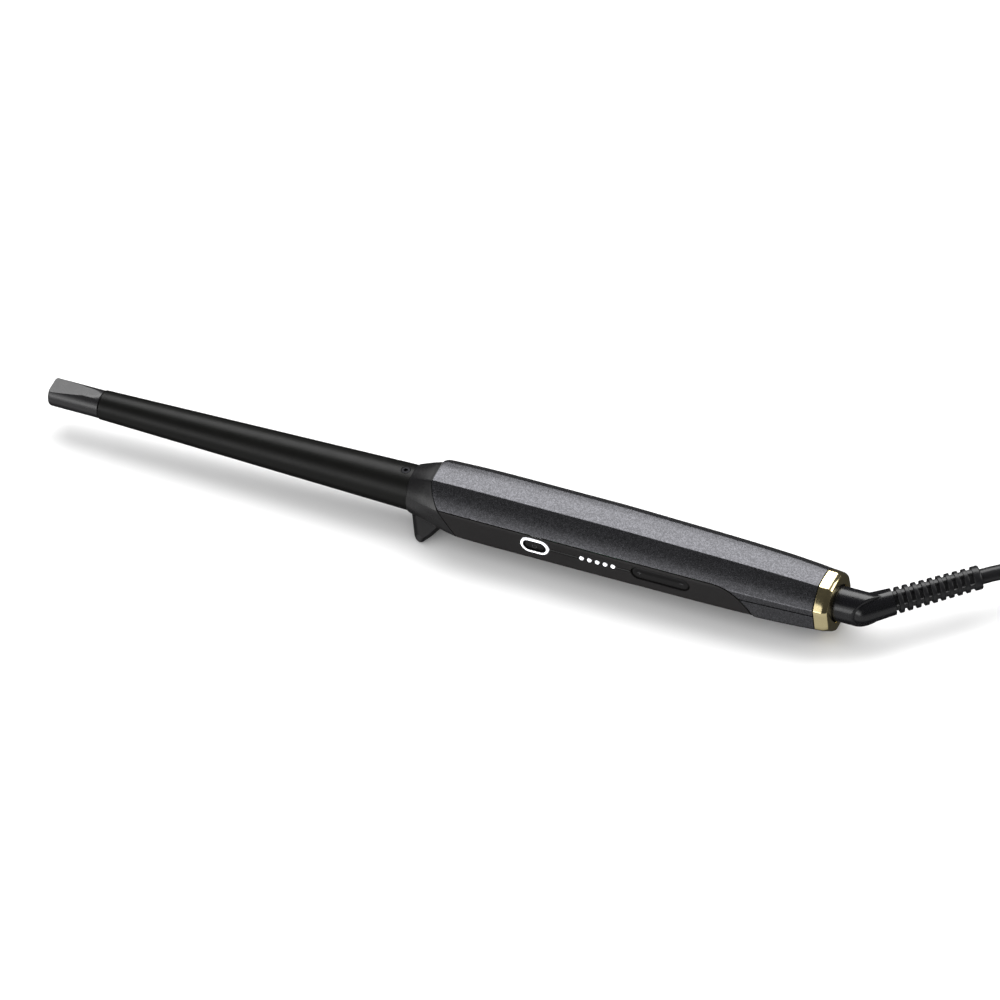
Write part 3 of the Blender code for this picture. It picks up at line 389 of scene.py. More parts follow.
def merged(obj, distance):
    """Joins the object's points that lie closer than the distance."""
    bm = bmesh.new()
    bm.from_mesh(obj.data)
    bmesh.ops.remove_doubles(bm, verts=bm.verts, dist=distance)
    bmesh.ops.dissolve_degenerate(bm, edges=bm.edges, dist=distance / 2)
    bm.to_mesh(obj.data)
    bm.free()
    return obj


def combine(obj, others, operation="DIFFERENCE"):
    """Cuts the others from the object, joins them to it or keeps what they share, and removes them."""
    for other in others:
        modifier = obj.modifiers.new("combine", "BOOLEAN")
        modifier.operation = operation
        modifier.object = other
        modifier.solver = "EXACT"
    applied(obj)
    for other in others:
        bpy.data.objects.remove(other, do_unlink=True)
    return obj


def shaded(obj, angle=32):
    obj.data.shade_smooth()
    obj.data.set_sharp_from_angle(angle=math.radians(angle))
    return obj


def soften(obj, width, segments=2, angle=40, weighted=True):
    """Rounds the sharp edges and weights the normals, so that flat faces stay flat."""
    bevel = obj.modifiers.new("soften", "BEVEL")
    bevel.width = width
    bevel.segments = segments
    bevel.limit_method = "ANGLE"
    bevel.angle_limit = math.radians(angle)
    bevel.use_clamp_overlap = False
    applied(obj)
    shaded(obj)
    if weighted:
        normals = obj.modifiers.new("normals", "WEIGHTED_NORMAL")
        normals.keep_sharp = True
        normals.weight = 50
    return obj


def piece(obj, body, slot, *nodes, finish=None, smooth=None):
    """Gives the object the finish of its slot or the given finish, puts it on its body and hides the CAD nodes it
    stands for.
    """
    if smooth:
        shaded(obj, smooth)
    obj.data.materials.clear()
    obj.data.materials.append(FINISHES[finish or slot])
    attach(obj, body)
    if nodes:
        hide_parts(*nodes)


# ---------------------------------------------------------------- materials

class Nodes:
    """The nodes of a material or a world, with short calls for what the finishes share."""

    def __init__(self, owner, space="Object"):
        owner.use_nodes = True
        self.tree = owner.node_tree
        self.coordinates = self.node("TexCoord").outputs[space]

    def put(self, value, target):
        if isinstance(value, bpy.types.NodeSocket):
            self.tree.links.new(value, target)
        elif target.type == "RGBA":
            target.default_value = (*value, 1)
        else:
            target.default_value = value

    def fill(self, node, settings):
        for name, value in settings.items():
            self.put(value, node.inputs[name])
        return node

    def node(self, kind, settings=None):
        return self.fill(self.tree.nodes.new("ShaderNode" + kind), settings or {})

    def noise(self, scale, detail=3.0, stretch=None):
        place = self.coordinates
        if stretch:
            place = self.node("Mapping", {"Vector": place, "Scale": stretch}).outputs["Vector"]
        settings = {"Scale": scale, "Detail": detail, "Roughness": 0.55, "Vector": place}
        return self.node("TexNoise", settings).outputs["Fac"]

    def spread(self, value, low, high, new_low, new_high, curve="LINEAR"):
        node = self.node("MapRange")
        node.interpolation_type = curve
        ends = {"From Min": low, "From Max": high, "To Min": new_low, "To Max": new_high}
        return self.fill(node, {"Value": value, **ends}).outputs["Result"]

    def mix(self, share, first, second):
        node = self.node("Mix")
        node.data_type = "RGBA"
        return self.fill(node, {"Factor": share, "A": first, "B": second}).outputs["Result"]

    def compute(self, operation, *values):
        node = self.node("Math")
        node.operation = operation
        for value, target in zip(values, node.inputs):
            self.put(value, target)
        return node.outputs["Value"]

    def add(self, first, second, weight):
        return self.compute("MULTIPLY_ADD", second, weight, first)

    def patches(self, scale, detail, low=0.3, high=0.7):
        """Soft patches from 0 to 1."""
        return self.spread(self.noise(scale, detail), low, high, 0.0, 1.0)

    def edges(self):
        """1 on convex edges, where the surface is rubbed."""
        pointiness = self.node("NewGeometry").outputs["Pointiness"]
        return self.spread(pointiness, 0.52, 0.60, 0.0, 1.0)

    def surface(self, height, strength, distance, settings):
        """Sets the surface's inputs, and its bump from the height."""
        bump = self.node("Bump", {"Strength": strength, "Distance": distance, "Height": height})
        shader = self.tree.nodes["Principled BSDF"]
        self.fill(shader, {"Normal": bump.outputs["Normal"], **settings})


def tone(colour, factor):
    return tuple(min(1.0, channel * factor) for channel in colour)


def moulded(nodes, colour, roughness, grain, depth, wear, specular=0.5, shift=0.12, coat=0.0):
    """A moulded or coated surface: fine grain, slight changes of tone and gloss, and rubbed edges."""
    base = nodes.mix(nodes.patches(35, 4), tone(colour, 1 - shift), tone(colour, 1 + shift))
    if wear > 0:
        worn = nodes.spread(nodes.edges(), 0.0, 1.0, 0.0, wear)
        base = nodes.mix(worn, base, tone(colour, 2.2))
    fine = nodes.noise(grain, 2)
    uneven = nodes.add(fine, nodes.noise(120), 0.8)
    nodes.surface(fine, 0.35, depth * MM, {
        "Base Color": base,
        "Roughness": nodes.spread(uneven, 0.5, 1.3, roughness - 0.06, roughness + 0.07),
        "Coat Weight": coat,
        "Coat Roughness": 0.12,
        "Specular IOR Level": specular,
    })


def flaked(nodes, colour, roughness, flake):
    """Metallic paint: flakes that differ in tone and lie at slightly different angles, under a clear coat."""
    cells = nodes.node("TexVoronoi", {"Scale": flake, "Vector": nodes.coordinates})
    random = nodes.node("SeparateColor", {"Color": cells.outputs["Color"]}).outputs
    bright = nodes.spread(random["Red"], 0.3, 1.0, 0.0, 1.0)
    base = nodes.mix(bright, tone(colour, 0.72), tone(colour, 1.5))
    clouds = nodes.spread(nodes.patches(500, 3, 0.35, 0.65), 0.0, 1.0, 0.0, 0.3)
    nodes.surface(random["Blue"], 0.3, 0.008 * MM, {
        "Base Color": nodes.mix(clouds, base, tone(colour, 0.8)),
        "Roughness": nodes.spread(random["Green"], 0.0, 1.0, roughness - 0.05, roughness + 0.05),
        "Metallic": 0.85,
        "Coat Weight": 0.15,
        "Coat Roughness": 0.2,
    })


def metal(nodes, colour, roughness, scratch=0.01, stretch=(1, 1, 1)):
    """Bare or plated metal with fine tool marks and a slight change of gloss."""
    marks = nodes.noise(1400, 3, stretch)
    smears = nodes.patches(60, 4)
    gloss = nodes.add(marks, smears, 0.5)
    nodes.surface(marks, 0.2, scratch * MM, {
        "Base Color": nodes.mix(smears, tone(colour, 0.94), tone(colour, 1.06)),
        "Roughness": nodes.spread(gloss, 0.4, 1.1, roughness - 0.04, roughness + 0.06),
        "Metallic": 1.0,
    })


def woven(nodes, colour):
    """A strap of fine loops: crossed threads and a soft sheen."""
    threads = []
    for axis in ("X", "Z"):
        wave = nodes.node("TexWave", {"Scale": 320, "Distortion": 1.2, "Vector": nodes.coordinates})
        wave.bands_direction = axis
        threads.append(wave.outputs["Fac"])
    fluff = nodes.noise(2200)
    height = nodes.add(nodes.add(*threads, 0.8), fluff, 0.9)
    share = nodes.spread(height, 0.4, 2.2, 0.0, 1.0)
    nodes.surface(height, 0.6, 0.12 * MM, {
        "Base Color": nodes.mix(share, tone(colour, 0.5), tone(colour, 2.0)),
        "Roughness": nodes.spread(fluff, 0.2, 0.8, 0.75, 0.95),
        "Sheen Weight": 0.1,
    })


def lit(nodes, colour, strength):
    """A frosted light guide that glows evenly."""
    cloud = nodes.patches(700, 2)
    nodes.surface(cloud, 0.1, 0.01 * MM, {
        "Base Color": nodes.mix(cloud, tone(colour, 0.93), colour),
        "Roughness": nodes.spread(cloud, 0.0, 1.0, 0.3, 0.42),
        "Emission Color": colour,
        "Emission Strength": strength,
    })


# Moulded: colour, roughness, grain, its depth in mm, wear, specular level, change of tone and coat.
# Metal: colour, roughness, depth of the marks in mm and their stretch.
FINISH_TABLE = {
    "tip_grey": (moulded, (0.010, 0.0095, 0.0105), 0.30, 2600, 0.012, 0.15, 0.7),
    "barrel_coating": (moulded, (0.0035, 0.0035, 0.0030), 0.38, 3000, 0.02, 0.2, 0.22),
    "collar_black": (moulded, (0.0065, 0.0063, 0.0068), 0.30, 2400, 0.01, 0.2, 0.62),
    "graphite_shell": (flaked, (0.076, 0.076, 0.083), 0.24, 2300),
    "panel_black": (moulded, (0.0115, 0.0104, 0.0106), 0.55, 3000, 0.02, 0.15, 0.3),
    "light_white": (lit, (0.95, 0.96, 1.0), 0.8),
    "pale_gold": (metal, (0.95, 0.81, 0.46), 0.16),
    "gloss_black": (moulded, (0.004, 0.004, 0.005), 0.25, 1500, 0.006, 0.0, 0.5, 0.12, 0.15),
    "relief_rubber": (moulded, (0.007, 0.007, 0.008), 0.34, 2200, 0.02, 0.2),
    "cable_black": (moulded, (0.007, 0.007, 0.008), 0.34, 1800, 0.02, 0.0),
    "tie_black": (woven, (0.007, 0.007, 0.0075)),
    "steel": (metal, (0.55, 0.55, 0.57), 0.28, 0.02),
    "brass": (metal, (0.75, 0.57, 0.28), 0.25),
    "aluminium": (metal, (0.70, 0.70, 0.72), 0.4, 0.03, (0.1, 1, 1)),
    "ceramic_white": (moulded, (0.80, 0.79, 0.75), 0.6, 800, 0.03, 0.0),
    "board_green": (moulded, (0.05, 0.22, 0.10), 0.4, 600, 0.02, 0.0, 0.5, 0.2),
    "component_black": (moulded, (0.02, 0.02, 0.02), 0.45, 1200, 0.02, 0.35),
    "wire_sleeve": (moulded, (0.45, 0.06, 0.05), 0.5, 900, 0.03, 0.0),
    "button_black": (moulded, (0.004, 0.0037, 0.004), 0.35, 2600, 0.01, 0.3, 0.3),
    "mark_grey": (moulded, (0.06, 0.06, 0.064), 0.5, 2600, 0.01, 0.0),
    "screw_black": (metal, (0.018, 0.018, 0.02), 0.42, 0.02),
}
FINISHES = {}
for finish_name, (make_finish, *values) in FINISH_TABLE.items():
    FINISHES[finish_name] = bpy.data.materials.new(finish_name)
    make_finish(Nodes(FINISHES[finish_name]), *values)


def finish_cad_nodes():
    """Each CAD node takes the procedural finish of its slot in the record."""
    slots = {part["node"]: part["material_slot"] for part in frame["record"]["subparts"]}
    for name, node in frame["nodes"].items():
        slot = slots[name]
        node.data.materials.clear()
        node.data.materials.append(FINISHES[slot])


finish_cad_nodes()


# ---------------------------------------------------------------- lead

def eased(share):
    return share * share * (3 - 2 * share)


def lane_half_width(x, lane):
    """Distance of a lane from the hank's middle line: full at the folds, narrow under the tie."""
    share = min(1.0, abs(x) / (HANK_RUN / 2))
    waist = WAIST_HALF + LANE_PITCH * lane
    fold = FOLD_RADIUS + LANE_PITCH * lane
    return waist + (fold - waist) * eased(share)


def hank_turn(lane, next_lane, z, next_z, stop=None):
    """One turn, clockwise from above: along +Y, the far fold, back along -Y and the near fold."""
    half = HANK_RUN / 2
    points = [(x, lane_half_width(x, lane), z) for x in stations(-half, half, 24) if x <= (stop or half)]
    if stop:
        return points
    radius = FOLD_RADIUS + LANE_PITCH * lane
    for angle in stations(0, math.pi, 20)[1:]:
        points.append((half + radius * math.sin(angle), radius * math.cos(angle), z))
    points += [(x, -lane_half_width(x, lane), z) for x in stations(half, -half, 24)[1:]]
    for angle in stations(0, math.pi, 20)[1:-1]:
        share = eased(angle / math.pi)
        turn_radius = FOLD_RADIUS + LANE_PITCH * (lane + (next_lane - lane) * share)
        height = z + (next_z - z) * share
        points.append((-half - turn_radius * math.sin(angle), -turn_radius * math.cos(angle), height))
    return points


def hank_points():
    """The lead's way through the hank: three turns inwards on the table, then three outwards on top."""
    low = CABLE_DIAMETER / 2
    high = low + LANE_PITCH
    outer = LANES - 1
    turns = []
    for lane in range(outer, -1, -1):
        last = lane == 0
        turns += hank_turn(lane, lane if last else lane - 1, low, high if last else low)
    for lane in range(LANES):
        end = TIE_WIDTH / 2 + MM if lane == outer else None
        turns += hank_turn(lane, min(outer, lane + 1), high, high, stop=end)
    middle = Vector((HANK_CENTRE[0] + HANK_RUN / 2, HANK_CENTRE[1], 0))
    return [middle + Vector(point) for point in turns]


def make_lead(plug_pieces):
    start = spline_points(CABLE_ROUTE, 4 * MM)
    hank = hank_points()
    tail = spline_points(TAIL_ROUTE, 3 * MM)
    rise_start, rise_end = hank[-1], tail[0]
    rise = []
    for share in stations(0.0, 1.0, 5)[1:-1]:
        point = rise_start.lerp(rise_end, share)
        point.z = rise_start.z + (rise_end.z - rise_start.z) * eased(share)
        rise.append(point)
    start[-1] = Vector((start[-1].x, hank[0].y, hank[0].z))
    points = start + hank + rise + tail
    curve = bpy.data.curves.new("mains_lead", "CURVE")
    curve.dimensions = "3D"
    curve.bevel_depth = CABLE_DIAMETER / 2
    curve.bevel_resolution = 6
    curve.use_fill_caps = True
    spline = curve.splines.new("POLY")
    spline.points.add(len(points) - 1)
    for point, place in zip(spline.points, points):
        point.co = (*place, 1)
    spline.use_smooth = True
    lead = new_object("mains_lead", curve)
    piece(lead, "cord", "cable_black", "cable", "cable_tail", "cable_hank")


# ---------------------------------------------------------------- handle shape

def handle_radius(x):
    """Distance from the handle's axis to an edge of its octagon."""
    if x < FLAT_FRONT:
        share = (FLAT_FRONT - x) / (FLAT_FRONT - HANDLE_FRONT)
        return HANDLE_RADIUS - FRONT_DROP * share**2
    share = max(0.0, (x - FLAT_REAR) / (HANDLE_REAR - FLAT_REAR))
    return HANDLE_RADIUS - REAR_DROP * (0.4 * share + 0.6 * share**5)


def axis_sink(x):
    """How far the handle's axis has moved towards the fin side."""
    return AXIS_SINK * max(0.0, (x - FLAT_REAR) / (HANDLE_REAR - FLAT_REAR))


def octagon(x, inset=0.0, recess=0.0):
    """The corners of the handle's section at x. The facet on the fin side can be recessed."""
    radius = handle_radius(x) - inset / math.cos(HALF_FACET)
    points = []
    for index in range(FACETS):
        angle = (2 * index + 1) * HALF_FACET
        y = -radius * math.sin(angle)
        z = -radius * math.cos(angle)
        if index in (0, FACETS - 1):
            y += math.copysign(recess, y)
            z += recess
        points.append(Vector((x, y, z - axis_sink(x))))
    return points


def handle_section(x, inset=0.0, recess=0.0, edge=EDGE_ROUND, crown=0.0):
    """The handle's section with rounded corners. The upper facets can be crowned."""
    corners = octagon(x, inset, recess)
    points = []
    for index, corner in enumerate(corners):
        before = corners[index - 1]
        after = corners[(index + 1) % FACETS]
        start = corner + (before - corner).normalized() * edge
        end = corner + (after - corner).normalized() * edge
        points += arc_between(start, corner, end, 4)
        following = after + (corner - after).normalized() * edge
        facing = 2 * HALF_FACET * (index + 1)
        outward = Vector((0, -math.sin(facing), -math.cos(facing)))
        bulge = crown if index in UPPER_FACETS else 0.0
        for t in stations(0.0, 1.0, 6)[1:-1]:
            points.append(end.lerp(following, t) + outward * bulge * 4 * t * (1 - t))
    return points


def collar_edge(z, offset=0.0):
    """Where the collar ends at height z: straight on the upper part, swept back below it."""
    share = max(0.0, (6 * MM - z) / (21.5 * MM))
    return COLLAR_TOP_EDGE + COLLAR_SWEEP * share**1.5 + offset


def collar_edge_points(low, high, offset):
    return [(collar_edge(z, offset), z) for z in stations(low, high, 40)]


def panel_tail(offset=0.0, lift=0.0):
    """The control panel's rear edge, from its upper seam round and down to the fin side."""
    points = []
    for t in stations(0.0, 1.0, 28):
        weights = ((1 - t) ** 3, 3 * t * (1 - t) ** 2, 3 * t**2 * (1 - t), t**3)
        x = sum(w * p[0] for w, p in zip(weights, PANEL_TAIL))
        z = sum(w * p[1] for w, p in zip(weights, PANEL_TAIL))
        points.append((x * MM + offset, z * MM + lift))
    return points


def region(outline):
    """A wide block with the given side outline, used to cut the handle into its shells."""
    return prism("region", outline, -2 * CUT_REACH, 2 * CUT_REACH, WAND)


def handle_shell(name, outline, wall, recess=0.0, crown=0.0):
    """A hollow piece of the handle, as far as the outline reaches."""
    outside = [handle_section(x, 0, recess, crown=crown) for x in stations(HANDLE_FRONT, HANDLE_REAR, 60)]
    ends = (HANDLE_FRONT - MM, HANDLE_REAR + MM)
    inside = [handle_section(x, wall, recess) for x in stations(*ends, 30)]
    shell = loft(name, outside, WAND)
    combine(shell, [loft("cavity", inside, WAND)])
    return combine(shell, [region(outline)], "INTERSECT")


def make_upper_shell():
    rear = HANDLE_REAR + MM
    tail = panel_tail()
    corner = next(p for p in tail if p[1] < REAR_SEAM_HEIGHTS[0])
    upper_tail = [p for p in tail if p[1] > corner[1]] + [corner]
    front = collar_edge_points(SEAM_HEIGHT, CUT_REACH, GAP)
    outline = front[:1] + upper_tail + [(rear, REAR_SEAM_HEIGHTS[1]), (rear, CUT_REACH)] + front[:0:-1]
    shell = handle_shell("upper_shell_skin", outline, SHELL_WALL, crown=CROWN)
    soften(merged(shell, 0.02 * MM), 0.18 * MM)
    piece(shell, "wand", "graphite_shell", "upper_shell")


def make_lower_shell():
    rear = HANDLE_REAR + MM
    tail = panel_tail()
    corner = next(p for p in tail if p[1] < REAR_SEAM_HEIGHTS[0])
    lower_tail = [(x + GAP, z - GAP) for x, z in tail if z <= corner[1]]
    outline = [(rear, REAR_SEAM_HEIGHTS[1] - GAP), (rear, -CUT_REACH), (lower_tail[-1][0], -CUT_REACH)]
    shell = handle_shell("lower_shell_skin", outline + lower_tail[::-1], SHELL_WALL)
    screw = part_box("shell_screw")
    centre = WAND.inverted() @ ((screw[0] + screw[1]) / 2)
    down = Matrix.Translation((centre.x, 0, 0)) @ Matrix.Rotation(math.pi / 2, 4, "Y")
    face = handle_radius(centre.x) * math.cos(HALF_FACET) + axis_sink(centre.x)
    cutters = []
    hole = (0, SHELL_HOLE_REACH, SCREW_HOLE, 32)
    sink = (face - SHELL_SINK_DEPTH, face + MM, SHELL_SINK_RADIUS, 48)
    for low, high, radius, steps in (hole, sink):
        outline = [(low, 0), (low, radius), (high, radius), (high, 0)]
        cutters.append(turned("hole", outline, steps, WAND @ down))
    combine(shell, cutters)
    soften(merged(shell, 0.02 * MM), 0.18 * MM)
    piece(shell, "wand", "graphite_shell", "lower_shell")


def control_block(size, deep, x, grow=0.0):
    """An oblong cutter through the control face."""
    outline = racetrack(size[0] + 2 * grow, size[1] + 2 * grow)
    return prism("block", outline, -CUTTER_PROUD, deep, CONTROLS @ Matrix.Translation((x, 0, 0)))


def lamp_matrix(x):
    """Places a turned piece so that its X points out of the control face."""
    return CONTROLS @ Matrix.Translation((x, 0, 0)) @ Matrix.Rotation(-math.pi / 2, 4, "Z")


def led_places():
    return [middle_of(f"indicator_lens_{index + 1}").x for index in range(5)]


def make_panel():
    tail = [(x - GAP, z - GAP) for x, z in panel_tail()]
    front = collar_edge_points(-CUT_REACH, SEAM_HEIGHT - GAP, GAP)
    outline = front[::-1] + [(tail[-1][0], -CUT_REACH)] + tail[::-1]
    panel = handle_shell("control_panel_skin", outline, PANEL_WALL, FIN_RECESS)
    ring_end = BUTTON_X + RING_SIZE[0] / 2
    rocker_start = ROCKER_X - ROCKER_SIZE[0] / 2
    channel = (rocker_start - ring_end + 2 * MM, CHANNEL_WIDTH)
    cutters = [
        control_block(RING_SIZE, CONTROL_CUT, BUTTON_X, GAP),
        control_block(ROCKER_SIZE, CONTROL_CUT, ROCKER_X, ROCKER_MARGIN),
        control_block(channel, CHANNEL_DEPTH, (ring_end + rocker_start) / 2),
    ]
    for x in led_places():
        radius = LED_RADIUS + GAP / 2
        outline = [(-CONTROL_CUT, 0), (-CONTROL_CUT, radius), (CUTTER_PROUD, radius), (CUTTER_PROUD, 0)]
        cutters.append(turned("led_hole", outline, 40, lamp_matrix(x)))
    combine(panel, cutters)
    soften(merged(panel, 0.02 * MM), 0.16 * MM)
    piece(panel, "wand", "panel_black", "control_panel")


def make_collar():
    """The collar: a lip round the barrel, the flare to the octagon, its swept edge and its inner sleeve."""
    base = handle_section(COLLAR_TOP_EDGE + FLARE_LENGTH, 0, FIN_RECESS)
    ends = [collar_edge(point.z) for point in base]

    def outside(share_along, inset=0.0):
        ring = []
        for index, end in enumerate(ends):
            x = COLLAR_FRONT + (end - COLLAR_FRONT) * share_along
            target = handle_section(max(x, HANDLE_FRONT), inset, FIN_RECESS)[index]
            target.x = 0
            flare_end = max(end, COLLAR_TOP_EDGE + FLARE_LENGTH)
            share = min(1.0, (x - COLLAR_FRONT) / (flare_end - COLLAR_FRONT))
            start = target.normalized() * (COLLAR_RADIUS - inset)
            point = start.lerp(target, share * (1.25 - 0.25 * share**2))
            ring.append(Vector((x, point.y, point.z)))
        return ring

    rows = [
        round_row(base, COLLAR_FRONT + 0.5 * MM, COLLAR_BORE),
        round_row(base, COLLAR_FRONT + 0.1 * MM, COLLAR_BORE + 0.06 * MM),
        round_row(base, COLLAR_FRONT, COLLAR_BORE + 0.2 * MM),
        round_row(base, COLLAR_FRONT + 0.05 * MM, COLLAR_RADIUS - 0.1 * MM),
    ]
    rows += [outside(share) for share in stations(0.0, 1.0, 44)[1:-1]]
    edge = outside(1.0)
    inner = outside(1.0, COLLAR_RIM)
    back = Vector((COLLAR_RIM, 0, 0))
    rows += [
        [point - back for point in edge],
        [a.lerp(b, 0.3) - 0.3 * back for a, b in zip(edge, inner)],
        inner,
        outside(1.0, SLEEVE_INSET),
        handle_section(COLLAR_SPIGOT_END, SLEEVE_INSET, FIN_RECESS),
        round_row(base, COLLAR_SPIGOT_END, COLLAR_CAVITY),
        round_row(base, BARREL_REAR, COLLAR_CAVITY),
        round_row(base, BARREL_REAR, COLLAR_BORE),
    ]
    collar = loft("collar_shell", rows, WAND, wrap=True)
    combine(collar, [make_fin()], "UNION")
    piece(merged(collar, 0.02 * MM), "wand", "collar_black", "collar", smooth=24)


def fin_outline(inset):
    """The fin's side outline. The front and the tip are moved in by the inset, the rear edge isn't."""
    outline = [(FIN_FRONT + inset, FIN_ROOT)]
    for x, height, along, upward in FIN_CORNERS:
        outline.append((x * MM + along * inset, height * MM - FIN_TIP_RADIUS + upward * inset))
    return outline + [(FIN_REAR, FIN_REAR_FOOT), (FIN_REAR, FIN_ROOT)]


def make_fin():
    """The rest fin, with its front and its tip rounded off to a nose and its rear edge left square."""
    half = FIN_THICKNESS / 2
    slope = half - FIN_NOSE / 2
    rows = []
    for t in stations(0.0, 1.0, 8):
        rows.append((half - slope * t, max(0.0, slope * (1 - t) - FIN_BULGE * math.sin(math.pi * t))))
    sections = []
    for y, inset in [(-y, inset) for y, inset in rows] + rows[::-1]:
        outline = rounded(fin_outline(inset), FIN_ROUND, 3, closed=True)
        sections.append([Vector((point.x, y, point.y)) for point in outline])
    return loft("fin", sections, WAND)


# ---------------------------------------------------------------- barrel and tip

def barrel_radius(x):
    share = min(1.0, (x - BARREL_FRONT) / (BARREL_TAPER_END - BARREL_FRONT))
    return BARREL_RADII[0] + (BARREL_RADII[1] - BARREL_RADII[0]) * share


def make_tip():
    """The cool tip: a rounded end and two finger flats that run out towards the barrel."""
    spigot = BARREL_RADII[0] - BARREL_WALL - GAP
    front = BARREL_FRONT - GAP
    outline = [(BARREL_FRONT + TIP_SPIGOT, 0), (BARREL_FRONT + TIP_SPIGOT, spigot), (front, spigot)]
    outline += [(front, TIP_RADIUS, 0.35 * MM), (TIP_END, TIP_RADIUS, TIP_CORNER), (TIP_END, 0)]
    tip = turned("cool_tip_skin", rounded(outline, 0.3 * MM, 8), 96, WAND)
    cutters = []
    for side in (1, -1):
        height = AXIS_HEIGHT + side * (TIP_RADIUS - TIP_FLAT_DEPTH)
        turn = Matrix.Rotation(-side * TIP_FLAT_SLOPE, 4, "Y")
        sideways = Matrix.Translation((0, 0, side * TIP_CUTTER.z / 2))
        place = Matrix.Translation((TIP_END, 0, height)) @ turn @ sideways
        cutters.append(block("flat", TIP_CUTTER, place))
    combine(tip, cutters)
    soften(merged(tip, 0.02 * MM), 0.12 * MM, angle=25)
    piece(tip, "wand", "tip_grey", "cool_tip")


def screw_matrix(side):
    """Places a turned piece so that its X points out of the barrel at one of the two screws."""
    turn = Matrix.Rotation(side * math.pi / 4, 4, "X") @ Matrix.Rotation(-math.pi / 2, 4, "Y")
    return WAND @ Matrix.Translation((SCREW_X, 0, 0)) @ turn


def make_barrel():
    """The coated sleeve, countersunk for its two screws, and the screws with their six-sided sockets."""
    inner = BARREL_RADII[1] - BARREL_WALL
    outline = [
        (BARREL_REAR, BARREL_RADII[1]),
        (BARREL_TAPER_END, BARREL_RADII[1], 4 * MM),
        (BARREL_FRONT, BARREL_RADII[0], 0.4 * MM),
        (BARREL_FRONT, BARREL_RADII[0] - BARREL_WALL, 0.2 * MM),
        (BARREL_TAPER_END, inner),
        (BARREL_REAR, inner),
    ]
    barrel = turned("barrel_sleeve", rounded(outline, 0.2 * MM, 6, closed=True), 128, WAND, closed=True)
    top = barrel_radius(SCREW_X) - 0.15 * MM
    sink = [
        (top + MM, 0),
        (top + MM, SCREW_RADIUS + 0.5 * MM),
        (top + 0.1 * MM, SCREW_RADIUS + 0.2 * MM),
        (top - MM, SCREW_HOLE),
        (top - 3 * MM, SCREW_HOLE),
        (top - 3 * MM, 0),
    ]
    combine(barrel, [turned("sink", sink, 48, screw_matrix(side)) for side in (-1, 1)])
    piece(merged(barrel, 0.01 * MM), "wand", "barrel_coating", "barrel", smooth=32)
    foot = top - SCREW_LENGTH
    head = [(top, 0), (top, SCREW_RADIUS, 0.2 * MM), (top - MM, SCREW_SHANK), (foot, SCREW_SHANK), (foot, 0)]
    socket = [(top + MM, 0), (top + MM, MM), (top - 0.9 * MM, MM), (top - 1.1 * MM, 0)]
    for index, side in enumerate((-1, 1), 1):
        screw = turned(f"barrel_screw_head_{index}", rounded(head, 0.1 * MM), 48)
        combine(screw, [turned("socket", socket, 6)])
        screw.data.transform(screw_matrix(side))
        piece(screw, "wand", "steel", f"barrel_screw_{index}", finish="screw_black", smooth=32)


# ---------------------------------------------------------------- controls

def oblong_piece(name, size, x, rows, ring=False):
    """An oblong piece on the control face from rows of (depth behind the face, inset of the outline)."""
    sections = []
    for depth, inset in rows:
        outline = racetrack(size[0] - 2 * inset, size[1] - 2 * inset, 20)
        sections.append([Vector((px, depth, pz)) for px, pz in outline])
    return loft(name, sections, CONTROLS @ Matrix.Translation((x, 0, 0)), wrap=ring)


def rows_of(outline, radius, steps=5, closed=False):
    return [(point.x, point.y) for point in rounded(outline, radius, steps, closed)]


def make_light_ring():
    """The light guide, and a dark bezel between it and the button."""
    wall = (RING_SIZE[1] - RING_HOLE[1]) / 2 - BEZEL
    foot = RING_DEPTH - RING_PROUD
    outline = [(foot, 0), (-RING_PROUD, 0), (-RING_PROUD, wall), (foot, wall)]
    ring = oblong_piece("power_light", RING_SIZE, BUTTON_X, rows_of(outline, 0.45 * MM, 6, True), ring=True)
    piece(ring, "wand", "light_white", "power_light_ring", smooth=60)
    top = 0.1 * MM - RING_PROUD
    outline = [(2 * MM, 0), (top, 0), (top, BEZEL), (2 * MM, BEZEL)]
    size = (RING_HOLE[0] + 2 * BEZEL, RING_HOLE[1] + 2 * BEZEL)
    bezel = oblong_piece("power_bezel", size, BUTTON_X, rows_of(outline, 0.12 * MM, 4, True), ring=True)
    piece(bezel, "wand", "panel_black", finish="button_black", smooth=60)


def curve_mark(name, strokes, width, matrix, body):
    """A raised mark made of round strokes, each a list of points in the control face."""
    curve = bpy.data.curves.new(name, "CURVE")
    curve.dimensions = "3D"
    curve.bevel_depth = width / 2
    curve.bevel_resolution = 3
    curve.use_fill_caps = True
    for stroke in strokes:
        spline = curve.splines.new("POLY")
        spline.points.add(len(stroke) - 1)
        for point, (x, z) in zip(spline.points, stroke):
            point.co = (x, 0, z, 1)
    mark = new_object(name, curve)
    mark.matrix_world = matrix
    piece(mark, body, "panel_black", finish="mark_grey")


def make_button():
    half = BUTTON_SIZE[1] / 2
    top = -0.12 * MM
    outline = [(2.4 * MM, 0), (0.1 * MM, 0, 0.4 * MM), (top, half * 0.6, MM), (top, half * 0.98)]
    button = oblong_piece("power_button_cap", BUTTON_SIZE, BUTTON_X, rows_of(outline, 0.3 * MM, 6))
    piece(button, "power_button", "panel_black", "power_button", finish="button_black", smooth=50)
    radius = 0.95 * MM
    gap = math.radians(35)
    arc = [(radius * math.sin(a), radius * math.cos(a)) for a in stations(gap, 2 * math.pi - gap, 28)]
    bar = [(0, 0.25 * MM), (0, 1.25 * MM)]
    place = CONTROLS @ Matrix.Translation((BUTTON_X, -0.1 * MM, 0))
    curve_mark("power_mark", [arc, bar], 0.2 * MM, place, "power_button")


